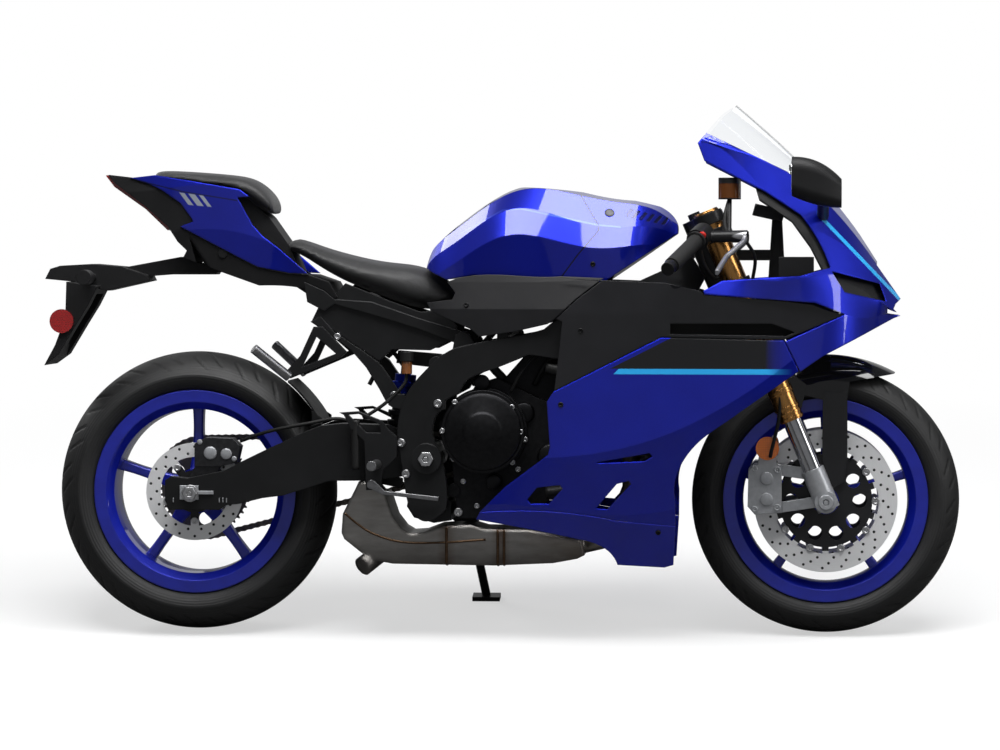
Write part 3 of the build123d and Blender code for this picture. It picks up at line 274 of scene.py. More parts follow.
blue_paint = metallic_paint("blue_paint")
blue_wheel = metallic_paint("blue_wheel")
colour = blue_wheel.blend(blue_wheel.noise(40, 2), (0.003, 0.008, 0.3), (0.006, 0.02, 0.5))
blue_wheel.set(Base_Color=colour, Metallic=0.4, Roughness=0.38)
print("paint:", blue_paint.material.name, blue_wheel.material.name)

# %% [markdown]
# The side fairing carries a black wedge along its top edge and a thin cyan
# line under it. They are painted, so they are masks in the colour: each mask
# is a distance above or below a straight line on the upright bike.

# %% Side fairing with its wedge and line
side_paint = metallic_paint("side_paint")
wedge = (side_paint.z.rise(599, 600) * side_paint.above(818, 548, 1056, 668).rise(-11, -12)
         * side_paint.x.rise(1345, 1285))
tip = (side_paint.x - side_paint.z - 363).rise(0, 1)
line = side_paint.z.within(587, 600, 1) * tip * side_paint.x.rise(1345, 1290)
colour = side_paint.blend(wedge, side_paint.colour, INK_BLACK)
colour = side_paint.blend(line, colour, STRIPE_CYAN)
side_paint.set(Base_Color=colour, Metallic=PAINT_METAL - wedge.most(line) * PAINT_METAL,
               Roughness=PAINT_ROUGHNESS - wedge * 0.14, Specular_IOR_Level=0.12)
print("side fairing: wedge and line in", side_paint.material.name)

# %% [markdown]
# The nose has one cyan line that runs down beside the screen.

# %% Nose fairing with its line
nose_paint = metallic_paint("nose_paint")
from_middle = abs(nose_paint.above(1410, 935, 1562, 778) + 3)
line = (from_middle.rise(6, 5) * nose_paint.x.rise(1398, 1402)
        * abs(nose_paint.y).rise(20, 30))
nose_paint.set(Base_Color=nose_paint.blend(line, nose_paint.colour, STRIPE_CYAN),
               Metallic=PAINT_METAL - line * PAINT_METAL)
print("nose fairing: line in", nose_paint.material.name)

# %% [markdown]
# The tank is made of painted shells. A dark split runs down behind the front
# shell, and five slanted gills are let into its shoulder. A brighter blue
# stroke along the top crease is a painted highlight. The tail carries three
# plain pale bars and a dark line along its edge.

# %% Tank shells and tail bars
tank_paint = metallic_paint("tank_paint")
split = tank_paint.stroke([(872, 985), (914, 917), (914, 903), (866, 846), (832, 800)], 2.4)
# painted highlight: a brighter blue stroke along the tank's top crease
crease_highlight = tank_paint.stroke([(600, 897), (652, 923), (700, 950), (741, 953), (912, 917),
                            (963, 912)], 3.5)
gills = ((tank_paint.x - tank_paint.z * 0.8 - 216).back_and_forth(9.5).rise(4.5, 6.0)
         * tank_paint.x.within(975, 1068, 2) * tank_paint.above(971, 936, 1077, 912).rise(0, 2)
         * tank_paint.above(971, 957, 1077, 932).rise(0, -2))
colour = tank_paint.blend(split.most(gills * 0.8), tank_paint.colour, INK_BLACK)
# the painted highlight lightens the blue along the crease
colour = tank_paint.blend(crease_highlight * 0.35, colour, (0.06, 0.12, 1.0))
tank_paint.set(Base_Color=colour,
               Normal=tank_paint.bump(1 - split.most(gills), 1.2, PANEL_EDGE))

tail_paint = metallic_paint("tail_paint")
patch = (tail_paint.above(-33, 992, 100, 975).rise(0, -2)
         * tail_paint.above(-10, 962, 100, 952).rise(0, 2)
         * tail_paint.above(20, 992, 60, 940).rise(0, -2)
         * tail_paint.above(-30, 990, 10, 938).rise(0, 2))
bars = (tail_paint.x + tail_paint.z * 0.77).back_and_forth(11).rise(3.5, 4.5)
edge_line = tail_paint.stroke([(-140, 1021), (-20, 992), (104, 972)], 3)
colour = tail_paint.blend(patch * bars, tail_paint.colour, (0.55, 0.6, 0.7))
tail_paint.set(Base_Color=tail_paint.blend(edge_line * 0.7, colour, INK_BLACK))
print("tank and tail:", tank_paint.material.name, tail_paint.material.name)

# %% [markdown]
# Plastics come in two kinds: gloss black panels with a clear coat, and
# moulded or coated parts whose fine grain scatters the light.


# %% Black plastics
def moulded_plastic(name, colour, grain_size=0.9, depth=0.05, roughness=0.5):
    finish = Finish(name)
    light = tuple(channel * 1.5 + 0.004 for channel in colour)
    finish.colour = finish.blend(finish.noise(60, 3), colour, light)
    finish.set(Base_Color=finish.colour, Specular_IOR_Level=0.25,
               Roughness=finish.noise(35, 2) * 0.12 + (roughness - 0.06),
               Normal=finish.bump(finish.grain(grain_size), depth, 3))
    return finish


gloss_black = Finish("gloss_black")
dust = gloss_black.noise(50, 4)
gloss_black.set(Base_Color=gloss_black.blend(dust, (0.004, 0.004, 0.005), (0.01, 0.01, 0.012)),
                Roughness=dust * 0.08 + 0.1, Specular_IOR_Level=0.12, Coat_Weight=1.0,
                Coat_Roughness=0.03, Normal=gloss_black.bump(gloss_black.noise(4, 1), 0.02, 4))
black_plastic = moulded_plastic("black_plastic", (0.006, 0.006, 0.0065))
satin_cover = moulded_plastic("satin_cover", (0.006, 0.006, 0.007), 1.3, 0.06, 0.4)
frame_paint = moulded_plastic("frame_paint", (0.009, 0.0092, 0.0098), 1.6, 0.04, 0.38)
frame_paint.set(Metallic=0.35, Coat_Weight=0.12, Coat_Roughness=0.25)
black_metal = moulded_plastic("black_metal", (0.006, 0.006, 0.0065), 1.2, 0.03, 0.35)
black_metal.set(Metallic=0.3)
grip_rubber = moulded_plastic("grip_rubber", (0.01, 0.01, 0.01), 2.2, 0.25, 0.7)
hose_rubber = moulded_plastic("hose_rubber", (0.007, 0.007, 0.007), 2.0, 0.15, 0.5)
# the near-black duct finish is painted shade, for the plates inside the ducts
duct_shade = moulded_plastic("duct_shade", (0.003, 0.003, 0.003), 2.0, 0.1, 0.6)
print("eight black finishes")

# %% [markdown]
# The bar controls are black with a bright lever, and the fluid cup among
# them shows amber fluid under its cap.

# %% Bar controls
controls = moulded_plastic("controls", (0.006, 0.006, 0.0065), 1.2, 0.03, 0.35)
lever = abs(controls.y).rise(194, 196) * controls.x.rise(1176, 1178)
cup = (controls.z.within(976, 1010, 2) * abs(controls.y + 98).rise(27, 26)
       * abs(controls.x - 1205).rise(27, 26))
colour = controls.blend(lever, controls.colour, (0.42, 0.42, 0.44))
controls.set(Base_Color=controls.blend(cup, colour, (0.09, 0.03, 0.008)),
             Metallic=lever * 0.9, Roughness=0.34 - cup * 0.2)
print("bar controls:", controls.material.name)

# %% [markdown]
# Metal parts differ in how they were made: cast, ground, drawn or plated.
# Cast skin is grainy, ground steel has fine lines, and plating is smooth.


# %% Cast and drawn metals
def metal(name, dark, light, roughness, grain_size, depth, stretch=(1, 1, 1), edge=2.5):
    finish = Finish(name)
    tone = finish.noise(grain_size * 9, 4, 0.6, stretch)
    finish.colour = finish.blend(tone, dark, light)
    finish.set(Base_Color=finish.colour, Metallic=1.0,
               Roughness=tone * 0.16 + (roughness - 0.08),
               Normal=finish.bump(finish.noise(grain_size, 3, 0.6, stretch), depth, edge))
    return finish


engine_cast = metal("engine_cast", (0.012, 0.012, 0.013), (0.035, 0.035, 0.037), 0.5, 1.4, 0.12)
engine_cover = metal("engine_cover", (0.014, 0.014, 0.015), (0.032, 0.032, 0.034), 0.4, 1.2, 0.08)
dark_cast = metal("dark_cast", (0.03, 0.03, 0.032), (0.09, 0.09, 0.095), 0.42, 1.2, 0.1)
grey_cast = metal("grey_cast", (0.32, 0.33, 0.35), (0.5, 0.51, 0.53), 0.36, 1.1, 0.08)
grey_cast.set(Metallic=0.5)
gold_anodised = metal("gold_anodised", (0.42, 0.19, 0.055), (0.68, 0.36, 0.12), 0.26, 0.8, 0.02,
                      (1, 1, 0.1))
fork_chrome = metal("fork_chrome", (0.35, 0.35, 0.37), (0.62, 0.62, 0.64), 0.12, 2.0, 0.01)
steel = metal("steel", (0.42, 0.42, 0.43), (0.68, 0.68, 0.69), 0.3, 0.9, 0.03)
chain_steel = metal("chain_steel", (0.07, 0.06, 0.055), (0.26, 0.24, 0.22), 0.38, 1.0, 0.05)
foot_metal = metal("foot_metal", (0.12, 0.12, 0.125), (0.4, 0.4, 0.41), 0.36, 1.0, 0.06)
weld = metal("weld_bead", (0.05, 0.03, 0.02), (0.16, 0.1, 0.06), 0.4, 1.5, 0.2)
shock_parts = metal("shock_parts", (0.01, 0.012, 0.02), (0.02, 0.05, 0.4), 0.35, 1.0, 0.04)
spring = shock_parts.z.within(520, 584, 2)
shock_parts.set(Base_Color=shock_parts.blend(spring, (0.02, 0.02, 0.022), (0.01, 0.03, 0.42)))

radiator_core = metal("radiator_core", (0.02, 0.02, 0.022), (0.08, 0.08, 0.085), 0.45, 1.0, 0.05)
fins = radiator_core.node("ShaderNodeTexWave", {"bands_direction": "Z"}, {
    "Vector": radiator_core.place, "Scale": 0.12})
radiator_core.set(Normal=radiator_core.bump(fins, 1.2))
print("twelve metal finishes")

# %% [markdown]
# A brake disc is ground in rings, so its roughness changes with the distance
# from the axle. Its steel is pale and only partly metallic, a painted
# reflection of a lamp on top of the ground rings. The carrier inside the
# friction ring is dark, and the ring is drilled in staggered rows.

# %% Brake discs
RING_STEP = 0.8
HOLE_RADIUS = 3.1


def disc_steel(name, wheel, carrier_radius, rows, count):
    finish = Finish(name)
    radius = finish.from_line(wheel["x"], wheel["z"])
    ring = finish.node("ShaderNodeCombineXYZ", {}, {0: radius, 1: finish.y})
    rings = finish.node("ShaderNodeTexNoise", {}, {
        "Vector": ring, "Scale": 1 / RING_STEP, "Detail": 3.0})
    turn = (finish.z - wheel["z"]).angle_from(finish.x - wheel["x"]) * (count / (2 * math.pi))
    holes = None
    for index, row in enumerate(rows):
        aside = (turn + index / len(rows) + count).back_and_forth(0.5)
        aside = aside * (2 * math.pi * row / count)
        spot = (aside * aside + (radius - row) * (radius - row)) ** 0.5
        spot = spot.rise(HOLE_RADIUS + 0.3, HOLE_RADIUS - 0.3)
        holes = spot if holes is None else holes.most(spot)
    # ground rings in pale, partly metallic steel: the paleness is a painted lamp reflection
    rings_and_painted_reflection = finish.blend(rings, (0.76, 0.76, 0.77), (0.92, 0.92, 0.93))
    shade = finish.blend(radius.rise(carrier_radius + 1, carrier_radius), rings_and_painted_reflection,
                         (0.02, 0.02, 0.022))
    finish.set(Base_Color=finish.blend(holes, shade, (0.003, 0.003, 0.003)),
               Metallic=0.35 - holes * 0.35, Roughness=rings * 0.2 + 0.26,
               Normal=finish.bump(rings * 0.1 - holes, 0.5))
    return finish


front_disc_steel = disc_steel("front_disc_steel", FRONT_WHEEL, 112, (128, 140, 151), 22)
rear_disc_steel = disc_steel("rear_disc_steel", REAR_WHEEL, 64, (86, 101), 18)
print("discs:", front_disc_steel.material.name, rear_disc_steel.material.name)

# %% [markdown]
# The exhaust box is raw steel. Heat turns it brown near the welds and the
# hot front end, and leaves streaks along the sheet. It grows darker towards its bottom.

# %% Exhaust steel
exhaust_steel = metal("exhaust_steel", (0.17, 0.16, 0.15), (0.42, 0.405, 0.385), 0.3, 2.2, 0.05,
                      (0.25, 1, 1), 14)
streaks = exhaust_steel.noise(26, 5, 0.65, (0.4, 1, 1))
heat = exhaust_steel.x.rise(640, 860) * 0.4 + streaks * 0.45
colour = exhaust_steel.blend(heat.rise(0.4, 1.0), exhaust_steel.colour, (0.12, 0.08, 0.05))
welds = abs(exhaust_steel.x - 574).least(abs(exhaust_steel.x - 696)).rise(22, 3)
colour = exhaust_steel.blend(welds * streaks, colour, (0.1, 0.05, 0.025))
# the steel grows darker towards the bottom of the box
darker_below = exhaust_steel.z.rise(215, 165) * 0.55
exhaust_steel.set(Base_Color=exhaust_steel.blend(darker_below, colour, (0.03, 0.026, 0.023)),
                  Roughness=streaks * 0.3 + 0.2)
print("exhaust:", exhaust_steel.material.name)

# %% [markdown]
# The reflectors and rear lights are coloured lenses with a fine prism
# pattern in their relief. The screen and the headlamp pass light. Small parts
# have finishes of their own: the mirrors' glass, the fluid and a red switch.


# %% Lenses and screen
def lens_finish(name, colour):
    finish = Finish(name)
    prisms = finish.node("ShaderNodeTexVoronoi", {"distance": "CHEBYCHEV"}, {
        "Vector": finish.place, "Scale": 0.25, "Randomness": 0.0})
    shade = finish.blend(prisms, colour, tuple(channel * 0.45 for channel in colour))
    finish.set(Base_Color=shade, Roughness=0.12, Coat_Weight=1.0, Coat_Roughness=0.02,
               Normal=finish.bump(prisms, 0.5))
    return finish


red_lens = lens_finish("red_lens", (0.4, 0.006, 0.006))
amber_lens = lens_finish("amber_lens", (0.9, 0.2, 0.01))
screen = Finish("screen")
screen.set(Base_Color=(0.95, 0.96, 0.97), Roughness=screen.noise(120, 2) * 0.02 + 0.005,
           Transmission_Weight=1.0, IOR=1.12)
lamp_glass = Finish("lamp_glass")
lamp_glass.set(Base_Color=(0.9, 0.93, 0.96), Roughness=lamp_glass.noise(20, 2) * 0.05 + 0.02,
               Transmission_Weight=0.9, IOR=1.35)
mirror_glass = Finish("mirror_glass")
mirror_glass.set(Base_Color=(0.8, 0.82, 0.85), Metallic=1.0,
                 Roughness=mirror_glass.noise(60, 2) * 0.03 + 0.02)
fluid = Finish("brake_fluid")
fluid.set(Base_Color=fluid.blend(fluid.noise(12, 2), (0.16, 0.05, 0.012), (0.26, 0.09, 0.02)),
          Roughness=0.15, Coat_Weight=1.0)
switch_red = Finish("switch_red")
colour = switch_red.blend(switch_red.noise(10, 2), (0.5, 0.01, 0.008), (0.6, 0.02, 0.012))
switch_red.set(Base_Color=colour, Roughness=0.35)
print("lenses, screen, mirror glass, fluid and switch")

# %% [markdown]
# Each CAD node came with one plain material. The next cell gives a finish to
# every node but the tyres and seats, which new pieces replace.

# %% Give each CAD node its finish
NODE_FINISHES = (
    (frame_paint, "main_frame subframe swingarm peg_brackets triple_clamps"),
    (engine_cast, "engine_block"), (engine_cover, "engine_covers"), (radiator_core, "radiator"),
    (exhaust_steel, "exhaust"), (steel, "pivot_bolt rear_axle"), (shock_parts, "rear_shock"),
    (chain_steel, "chain rear_sprocket"), (dark_cast, "rear_caliper"), (foot_metal, "foot_pegs"),
    (black_plastic, "rear_hugger tail_underside plate_bracket cockpit_panel mirrors"),
    (tank_paint, "fuel_tank"), (satin_cover, "tank_side_covers"), (tail_paint, "tail_panels"),
    (red_lens, "rear_lights"), (nose_paint, "upper_fairing"), (screen, "windscreen"),
    (lamp_glass, "headlamp"), (side_paint, "side_fairings"), (blue_paint, "belly_pan"),
    (gloss_black, "fairing_infill front_fender"), (black_metal, "handlebars side_stand"),
    (gold_anodised, "fork_outer_tubes"), (fork_chrome, "fork_inner_tubes"),
    (grey_cast, "axle_castings front_calipers"), (grip_rubber, "grips"),
    (controls, "bar_controls"), (amber_lens, "fork_reflectors"),
    (blue_wheel, "front_rim rear_rim"), (front_disc_steel, "front_discs"),
    (rear_disc_steel, "rear_disc"),
)
count = 0
for finish, names in NODE_FINISHES:
    for name in names.split():
        for material_slot in frame["nodes"][name].material_slots:
            material_slot.material = finish.material
        count += 1
print("finished nodes:", count)

# %% [markdown]
# New pieces are meshes. Each starts as a shape, which is a list of corners
# and a list of faces, and several shapes can be merged into one piece. Places
# on the upright bike are leaned here, and each piece rides on the CAD body
# that it is fixed to.


# %% Helpers for new pieces
SHARP_EDGE = math.radians(35)


def scene_piece(name, shape, finish, body):
    """Piece from a shape whose corners are places in the scene."""
    corners, faces = shape
    mesh = bpy.data.meshes.new(name)
    mesh.from_pydata(corners, [], faces)
    mesh.materials.append(finish.material)
    mesh.shade_smooth()
    made = bpy.data.objects.new(name, mesh)
    bpy.context.scene.collection.objects.link(made)
    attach(made, body)
    return made


def piece(name, shape, finish, body):
    """Piece from a shape whose corners are places on the upright bike."""
    corners, faces = shape
    return scene_piece(name, ([at(*corner) for corner in corners], faces), finish, body)


def merged(shapes):
    """Several shapes as one."""
    corners, faces = [], []
    for shape_corners, shape_faces in shapes:
        start = len(corners)
        corners += shape_corners
        faces += [tuple(start + i for i in face) for face in shape_faces]
    return corners, faces


def ring_faces(rows, columns, close_rows=False):
    """Quads between neighbouring rows of corners, each row a closed ring."""
    faces = []
    for row in range(rows if close_rows else rows - 1):
        here, below = row * columns, (row + 1) % rows * columns
        for column in range(columns):
            onward = (column + 1) % columns
            faces.append((here + column, here + onward, below + onward, below + column))
    return faces


def closed_faces(rows, columns):
    """The same quads, with one more face over each end."""
    last = (rows - 1) * columns
    ends = [tuple(reversed(range(columns))), tuple(range(last, last + columns))]
    return ring_faces(rows, columns) + ends


def prism(outline, y1, y2):
    """Flat shape across the bike, given by its outline in x and z."""
    corners = [(x, y, z) for y in sorted((y1, y2)) for x, z in outline]
    return corners, closed_faces(2, len(outline))


def rounded_box(count, power):
    """Places round a box with round corners, from -1 to 1 both ways."""
    turns = [2 * math.pi * i / count for i in range(count)]
    return [[math.copysign(abs(v) ** power, v) for v in (math.cos(t), math.sin(t))]
            for t in turns]


print("new pieces can be made")

# %% [markdown]
# Road tyres of a sport bike have a round crown with slanted grooves and
# smooth shoulders. A dense ring of corners follows the tyre's cross-section,
# and each corner sinks where a groove passes, so the tread is real relief.

# %% Tyres with tread
TYRE_EDGE = 217
RIM_FLANGE = 229
WALL_COUNT = 16
GROOVE_DEPTH = 3.5
PITCHES = 20
GROOVES = ((0.0, 0.1, 0.72, 3.2), (0.5, 0.42, 0.86, 2.6))  # offset, inner, outer, width


def circle_through(a, b, c, count):
    """Points of the arc from a through b to c."""
    (ax, ay), (bx, by), (cx, cy) = a, b, c
    a2, b2, c2 = ax**2 + ay**2, bx**2 + by**2, cx**2 + cy**2
    d = 2 * (ax * (by - cy) + bx * (cy - ay) + cx * (ay - by))
    ux = (a2 * (by - cy) + b2 * (cy - ay) + c2 * (ay - by)) / d
    uy = (a2 * (cx - bx) + b2 * (ax - cx) + c2 * (bx - ax)) / d
    start, middle, end = [math.atan2(y - uy, x - ux) for x, y in (a, b, c)]
    if not min(start, end) <= middle <= max(start, end):
        end += 2 * math.pi if end < start else -2 * math.pi
    radius = math.hypot(ax - ux, ay - uy)
    return [(ux + radius * math.cos(t), uy + radius * math.sin(t))
            for t in np.linspace(start, end, count)]


def groove_depth(across, angle, radius):
    """How deep the tread is cut, 0 to 1, at a place on the crown."""
    away = np.abs(across)
    step = 2 * math.pi / PITCHES
    shift = np.where(across > 0, 0.5, 0.0) * step
    depth = np.zeros_like(angle * across)
    for offset, inner, outer, width in GROOVES:
        centre = shift + offset * step + 0.2 * np.sqrt(away) + 0.16 * away**3
        off = (angle - centre + step / 2) % step - step / 2
        near = np.clip((width - np.abs(off) * radius * 0.75) / 1.4, 0, 1)
        taper = np.clip((away - inner) / 0.05, 0, 1) * np.clip((outer - away) / 0.08, 0, 1)
        depth = np.maximum(depth, near * taper)
    return depth


def tyre_rubber(wheel):
    finish = Finish(wheel["name"] + "_rubber")
    radius = finish.from_line(wheel["x"], wheel["z"])
    rings = (radius * 1.1).sine()
    side_zone = radius.rise(wheel["radius"] - 26, wheel["radius"] - 34)
    wear = finish.noise(25, 4)
    colour = finish.blend(wear * side_zone, (0.007, 0.007, 0.0072), (0.015, 0.015, 0.0155))
    relief = rings * side_zone * 0.5 + finish.noise(1.2, 2) * 0.3
    finish.set(Base_Color=colour, Roughness=wear * 0.2 + 0.5, Normal=finish.bump(relief, 0.3))
    return finish


def tyre(wheel, around, crown_count, body):
    half, crown, bead = wheel["width"] / 2, wheel["crown"], wheel["bead"] - 0.3
    crown_centre = wheel["radius"] - crown
    shoulder = crown_centre + math.sqrt(crown**2 - half**2)
    bulge = ((bead + half) / 2 + 4, (RIM_FLANGE + shoulder) / 2 - 2)
    wall = circle_through((bead, RIM_FLANGE), bulge, (half, shoulder), WALL_COUNT)
    swing = math.asin(half / crown)
    tread = [(crown * math.sin(t), crown_centre + crown * math.cos(t))
             for t in np.linspace(-swing, swing, crown_count)]
    section = ([(-bead, TYRE_EDGE)] + [(-y, r) for y, r in wall[:-1]] + tread
               + wall[-2::-1] + [(bead, TYRE_EDGE)])
    y, r = np.array(section).T
    across = np.arcsin(np.clip(y / crown, -1, 1)) / swing
    across[:WALL_COUNT] = -1
    across[-WALL_COUNT:] = 1
    angle = np.linspace(0, 2 * math.pi, around, endpoint=False)[:, None]
    depth = groove_depth(across[None, :], angle, wheel["radius"])
    radius = r[None, :] - depth * GROOVE_DEPTH
    x = wheel["x"] + radius * np.sin(angle)
    z = wheel["z"] + radius * np.cos(angle)
    corners = np.stack([x, np.broadcast_to(y, x.shape), z], axis=-1).reshape(-1, 3)
    made = piece(wheel["name"] + "_tyre_tread",
                 (corners.tolist(), ring_faces(around, len(section), close_rows=True)),
                 tyre_rubber(wheel), body)
    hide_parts(wheel["name"] + "_tyre")
    print(made.name, "has", len(made.data.polygons), "faces")


tyre(REAR_WHEEL, 720, 55, "rear_wheel")
tyre(FRONT_WHEEL, 640, 45, "front_wheel")

# %% [markdown]
# The chain is a loop of links: narrow and wide pairs of plates in turn, with
# a roller at every pin. The loop runs round both sprockets at their pitch
# radius, and the links are set along it at even steps of one pitch.

# %% Drive chain
CHAIN_PITCH = 15.875
CHAIN_Y = 95
SPROCKETS = ((0.0, REAR_WHEEL["z"], 45), (612.0, 401.0, 16))
INNER_GAP, OUTER_GAP, PLATE = 6.2, 7.9, 1.5
PLATE_ROUND, PLATE_WAIST = 6.8, 5.2
ROLLER_RADIUS, ROLLER_HALF = 5.0, 6
PIN_RADIUS, PIN_HALF = 2.4, 10.2


def arc(x, z, radius, angles):
    return [(x + radius * math.cos(t), z + radius * math.sin(t)) for t in angles]


def chain_line():
    """Places along the chain's loop, one for each pin, with even steps."""
    (x1, z1, t1), (x2, z2, t2) = SPROCKETS
    r1, r2 = [CHAIN_PITCH / (2 * math.sin(math.pi / teeth)) for teeth in (t1, t2)]
    slope = math.atan2(z2 - z1, x2 - x1)
    lean = math.acos((r1 - r2) / math.hypot(x2 - x1, z2 - z1))
    dense = arc(x1, z1, r1, np.linspace(slope + lean, slope + 2 * math.pi - lean, 200))
    dense += arc(x2, z2, r2, np.linspace(slope - lean, slope + lean, 80))
    loop = np.array(dense + dense[:1])
    length = np.concatenate([[0], np.cumsum(np.hypot(*np.diff(loop, axis=0).T))])
    count = 2 * round(length[-1] / CHAIN_PITCH / 2)
    places = np.linspace(0, length[-1], count, endpoint=False)
    return [(np.interp(p, length, loop[:, 0]), np.interp(p, length, loop[:, 1])) for p in places]


def round_outline(x, z, radius, sides):
    return arc(x, z, radius, [2 * math.pi * i / sides for i in range(sides)])


def link_outline(a, b):
    """Waisted plate round two pins."""
    along = math.atan2(b[1] - a[1], b[0] - a[0])
    middle_x, middle_z = (a[0] + b[0]) / 2, (a[1] + b[1]) / 2
    waist_x, waist_z = -math.sin(along) * PLATE_WAIST, math.cos(along) * PLATE_WAIST
    half_turn = [math.pi / 2 + math.pi * i / 6 for i in range(7)]
    return (arc(*a, PLATE_ROUND, [along + t for t in half_turn])
            + [(middle_x - waist_x, middle_z - waist_z)]
            + arc(*b, PLATE_ROUND, [along - math.pi + t for t in half_turn])
            + [(middle_x + waist_x, middle_z + waist_z)])


pins = chain_line()
links = []
for index, here in enumerate(pins):
    plate = link_outline(here, pins[(index + 1) % len(pins)])
    gap = INNER_GAP if index % 2 else OUTER_GAP
    for side in (-1, 1):
        links.append(prism(plate, CHAIN_Y + side * gap, CHAIN_Y + side * (gap + PLATE)))
    for radius, sides, half in ((ROLLER_RADIUS, 12, ROLLER_HALF), (PIN_RADIUS, 8, PIN_HALF)):
        links.append(prism(round_outline(*here, radius, sides), CHAIN_Y - half, CHAIN_Y + half))
chain_links = piece("chain_links", merged(links), chain_steel, "chassis")
chain_links.data.shade_flat()
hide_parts("chain")
print("chain pins:", len(pins))

# %% [markdown]
# A motorcycle seat is foam on a plastic base with a stretched cover. Each pad
# is built from closed cross-sections that follow its top line, its bottom
# line and its half width, swells a little as a cloth under pressure, and
# gets a cover with fine grain.

# %% Seat cover
PAD_COUNT = 28
PAD_POWER = 2 / 3.2
PAD_CROWN = 6
VOXEL = 0.006
CLOTH_STEPS = 12
seat_cover = Finish("seat_cover")
colour = seat_cover.blend(seat_cover.noise(70, 3), (0.006, 0.006, 0.0065), (0.012, 0.012, 0.0125))
seat_cover.set(Base_Color=colour, Roughness=seat_cover.noise(40, 2) * 0.14 + 0.5,
               Normal=seat_cover.bump(seat_cover.grain(1.8), 0.25), Sheen_Weight=0.15)


def pad(name, stations):
    """Pad from stations (x, half width, bottom, top): rounded closed sections."""
    corners = []
    for x, half, bottom, top in stations:
        middle, rise = (bottom + top) / 2, (top - bottom) / 2
        for across, up in rounded_box(PAD_COUNT, PAD_POWER):
            y = half * across
            sink = PAD_CROWN * (y / half) ** 2 if up > 0 else 0
            corners.append((x, y, middle + rise * up - sink))
    made = piece(name, (corners, closed_faces(len(stations), PAD_COUNT)), seat_cover, "chassis")
    made.modifiers.new("cover", "SUBSURF").levels = 2
    return made


def apply_modifiers(made):
    """Turns what the modifiers show into the mesh itself."""
    shown = made.evaluated_get(bpy.context.evaluated_depsgraph_get())
    mesh = bpy.data.meshes.new_from_object(shown)
    made.modifiers.clear()
    made.data = mesh


def swell(made, limit):
    """Foam under its cover: cloth with pressure, held to a small movement."""
    apply_modifiers(made)
    remesh = made.modifiers.new("even", "REMESH")
    remesh.mode = "VOXEL"
    remesh.voxel_size = VOXEL
    apply_modifiers(made)
    start = np.empty(len(made.data.vertices) * 3)
    made.data.vertices.foreach_get("co", start)
    cloth = made.modifiers.new("cloth", "CLOTH")
    cloth.settings.use_pressure = True
    cloth.settings.uniform_pressure_force = 4
    cloth.settings.effector_weights.gravity = 0
    for step in range(CLOTH_STEPS):
        bpy.context.scene.frame_set(step + 1)
    apply_modifiers(made)
    bpy.context.scene.frame_set(1)
    now = np.empty_like(start)
    made.data.vertices.foreach_get("co", now)
    move = (now - start).reshape(-1, 3)
    size = np.linalg.norm(move, axis=1, keepdims=True)
    move *= np.minimum(1, limit / np.maximum(size, 1e-9))
    made.data.vertices.foreach_set("co", (start.reshape(-1, 3) + move).ravel())
    made.modifiers.new("cover", "SUBSURF").levels = 1
    apply_modifiers(made)
    made.data.materials.clear()
    made.data.materials.append(seat_cover.material)
    made.data.shade_smooth()


print("cover:", seat_cover.material.name)

# %% Rider seat
RIDER_STATIONS = [
    (206, 66, 868, 882), (214, 80, 864, 887), (246, 94, 853, 880), (290, 112, 823, 863),
    (340, 124, 795, 849), (390, 131, 775, 837), (440, 132, 755, 829), (490, 124, 737, 826),
    (530, 106, 729, 814), (560, 94, 731, 797), (584, 84, 744, 780), (593, 74, 754, 766),
]
rider_pad = pad("rider_seat_pad", RIDER_STATIONS)
swell(rider_pad, 0.004)
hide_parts("rider_seat")
print("rider seat faces:", len(rider_pad.data.polygons))

# %% Pillion seat
PILLION_STATIONS = [
    (-98, 56, 1024, 1032), (-88, 66, 1022, 1039), (-40, 80, 1014, 1038), (20, 88, 1006, 1034),
    (80, 95, 1000, 1029), (116, 98, 984, 1024), (140, 97, 962, 1014), (160, 94, 946, 998),
    (174, 90, 938, 982), (180, 84, 940, 966),
]
pillion_pad = pad("pillion_seat_pad", PILLION_STATIONS)
swell(pillion_pad, 0.003)
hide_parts("pillion_seat")
print("pillion seat faces:", len(pillion_pad.data.polygons))

# %% [markdown]
# Screws hold the panels, covers and frame. Each is set by its place on the
# side of the bike: a ray from outside finds the surface of the named part,
# and the screw sits there, square to it, on each side where the ray meets the
# part. The head is a turned shape with a socket.

# %% Screws
HEAD = [(0, -0.5), (1, -0.5), (1, 0.3), (0.88, 0.52), (0.55, 0.56), (0.5, 0.5), (0.46, 0.1),
        (0, 0.06)]
FAR_OUTSIDE = 500


def surface(nodes, x, z, side=-1):
    """Nearest outer surface of some nodes, seen from one side of the bike."""
    start = at(x, side * FAR_OUTSIDE, z)
    found = []
    for node in nodes.split():
        hit, place, normal, _ = frame["nodes"][node].ray_cast(start, toward(0, -side, 0))
        if hit:
            found.append(((place - start).length, place, normal))
    return min(found, key=lambda entry: entry[0])[1:] if found else None


def turned(profile, place, direction, radius, sides=20):
    """Turned shape that stands on a surface; its profile is in shares of its radius."""
    spin = direction.to_track_quat("Z", "Y").to_matrix()
    corners = []
    for reach, height in profile:
        for i in range(sides):
            t = 2 * math.pi * i / sides
            local = Vector((math.cos(t) * reach, math.sin(t) * reach, height)) * (radius / 1000)
            corners.append(place + spin @ local)
    return corners, ring_faces(len(profile), sides)


def turned_piece(name, shapes, finish, body):
    """One piece from turned shapes, smooth but for its sharp edges."""
    made = scene_piece(name, merged(shapes), finish, body)
    made.data.set_sharp_from_angle(angle=SHARP_EDGE)
    print(name, len(shapes))


def screws(name, radius, finish, spots):
    shapes = []
    for nodes, places in spots.items():
        for x, z in places:
            for side in (-1, 1):
                spot = surface(nodes, x, z, side)
                if spot:
                    shapes.append(turned(HEAD, *spot, radius))
    turned_piece(name, shapes, finish, "chassis")


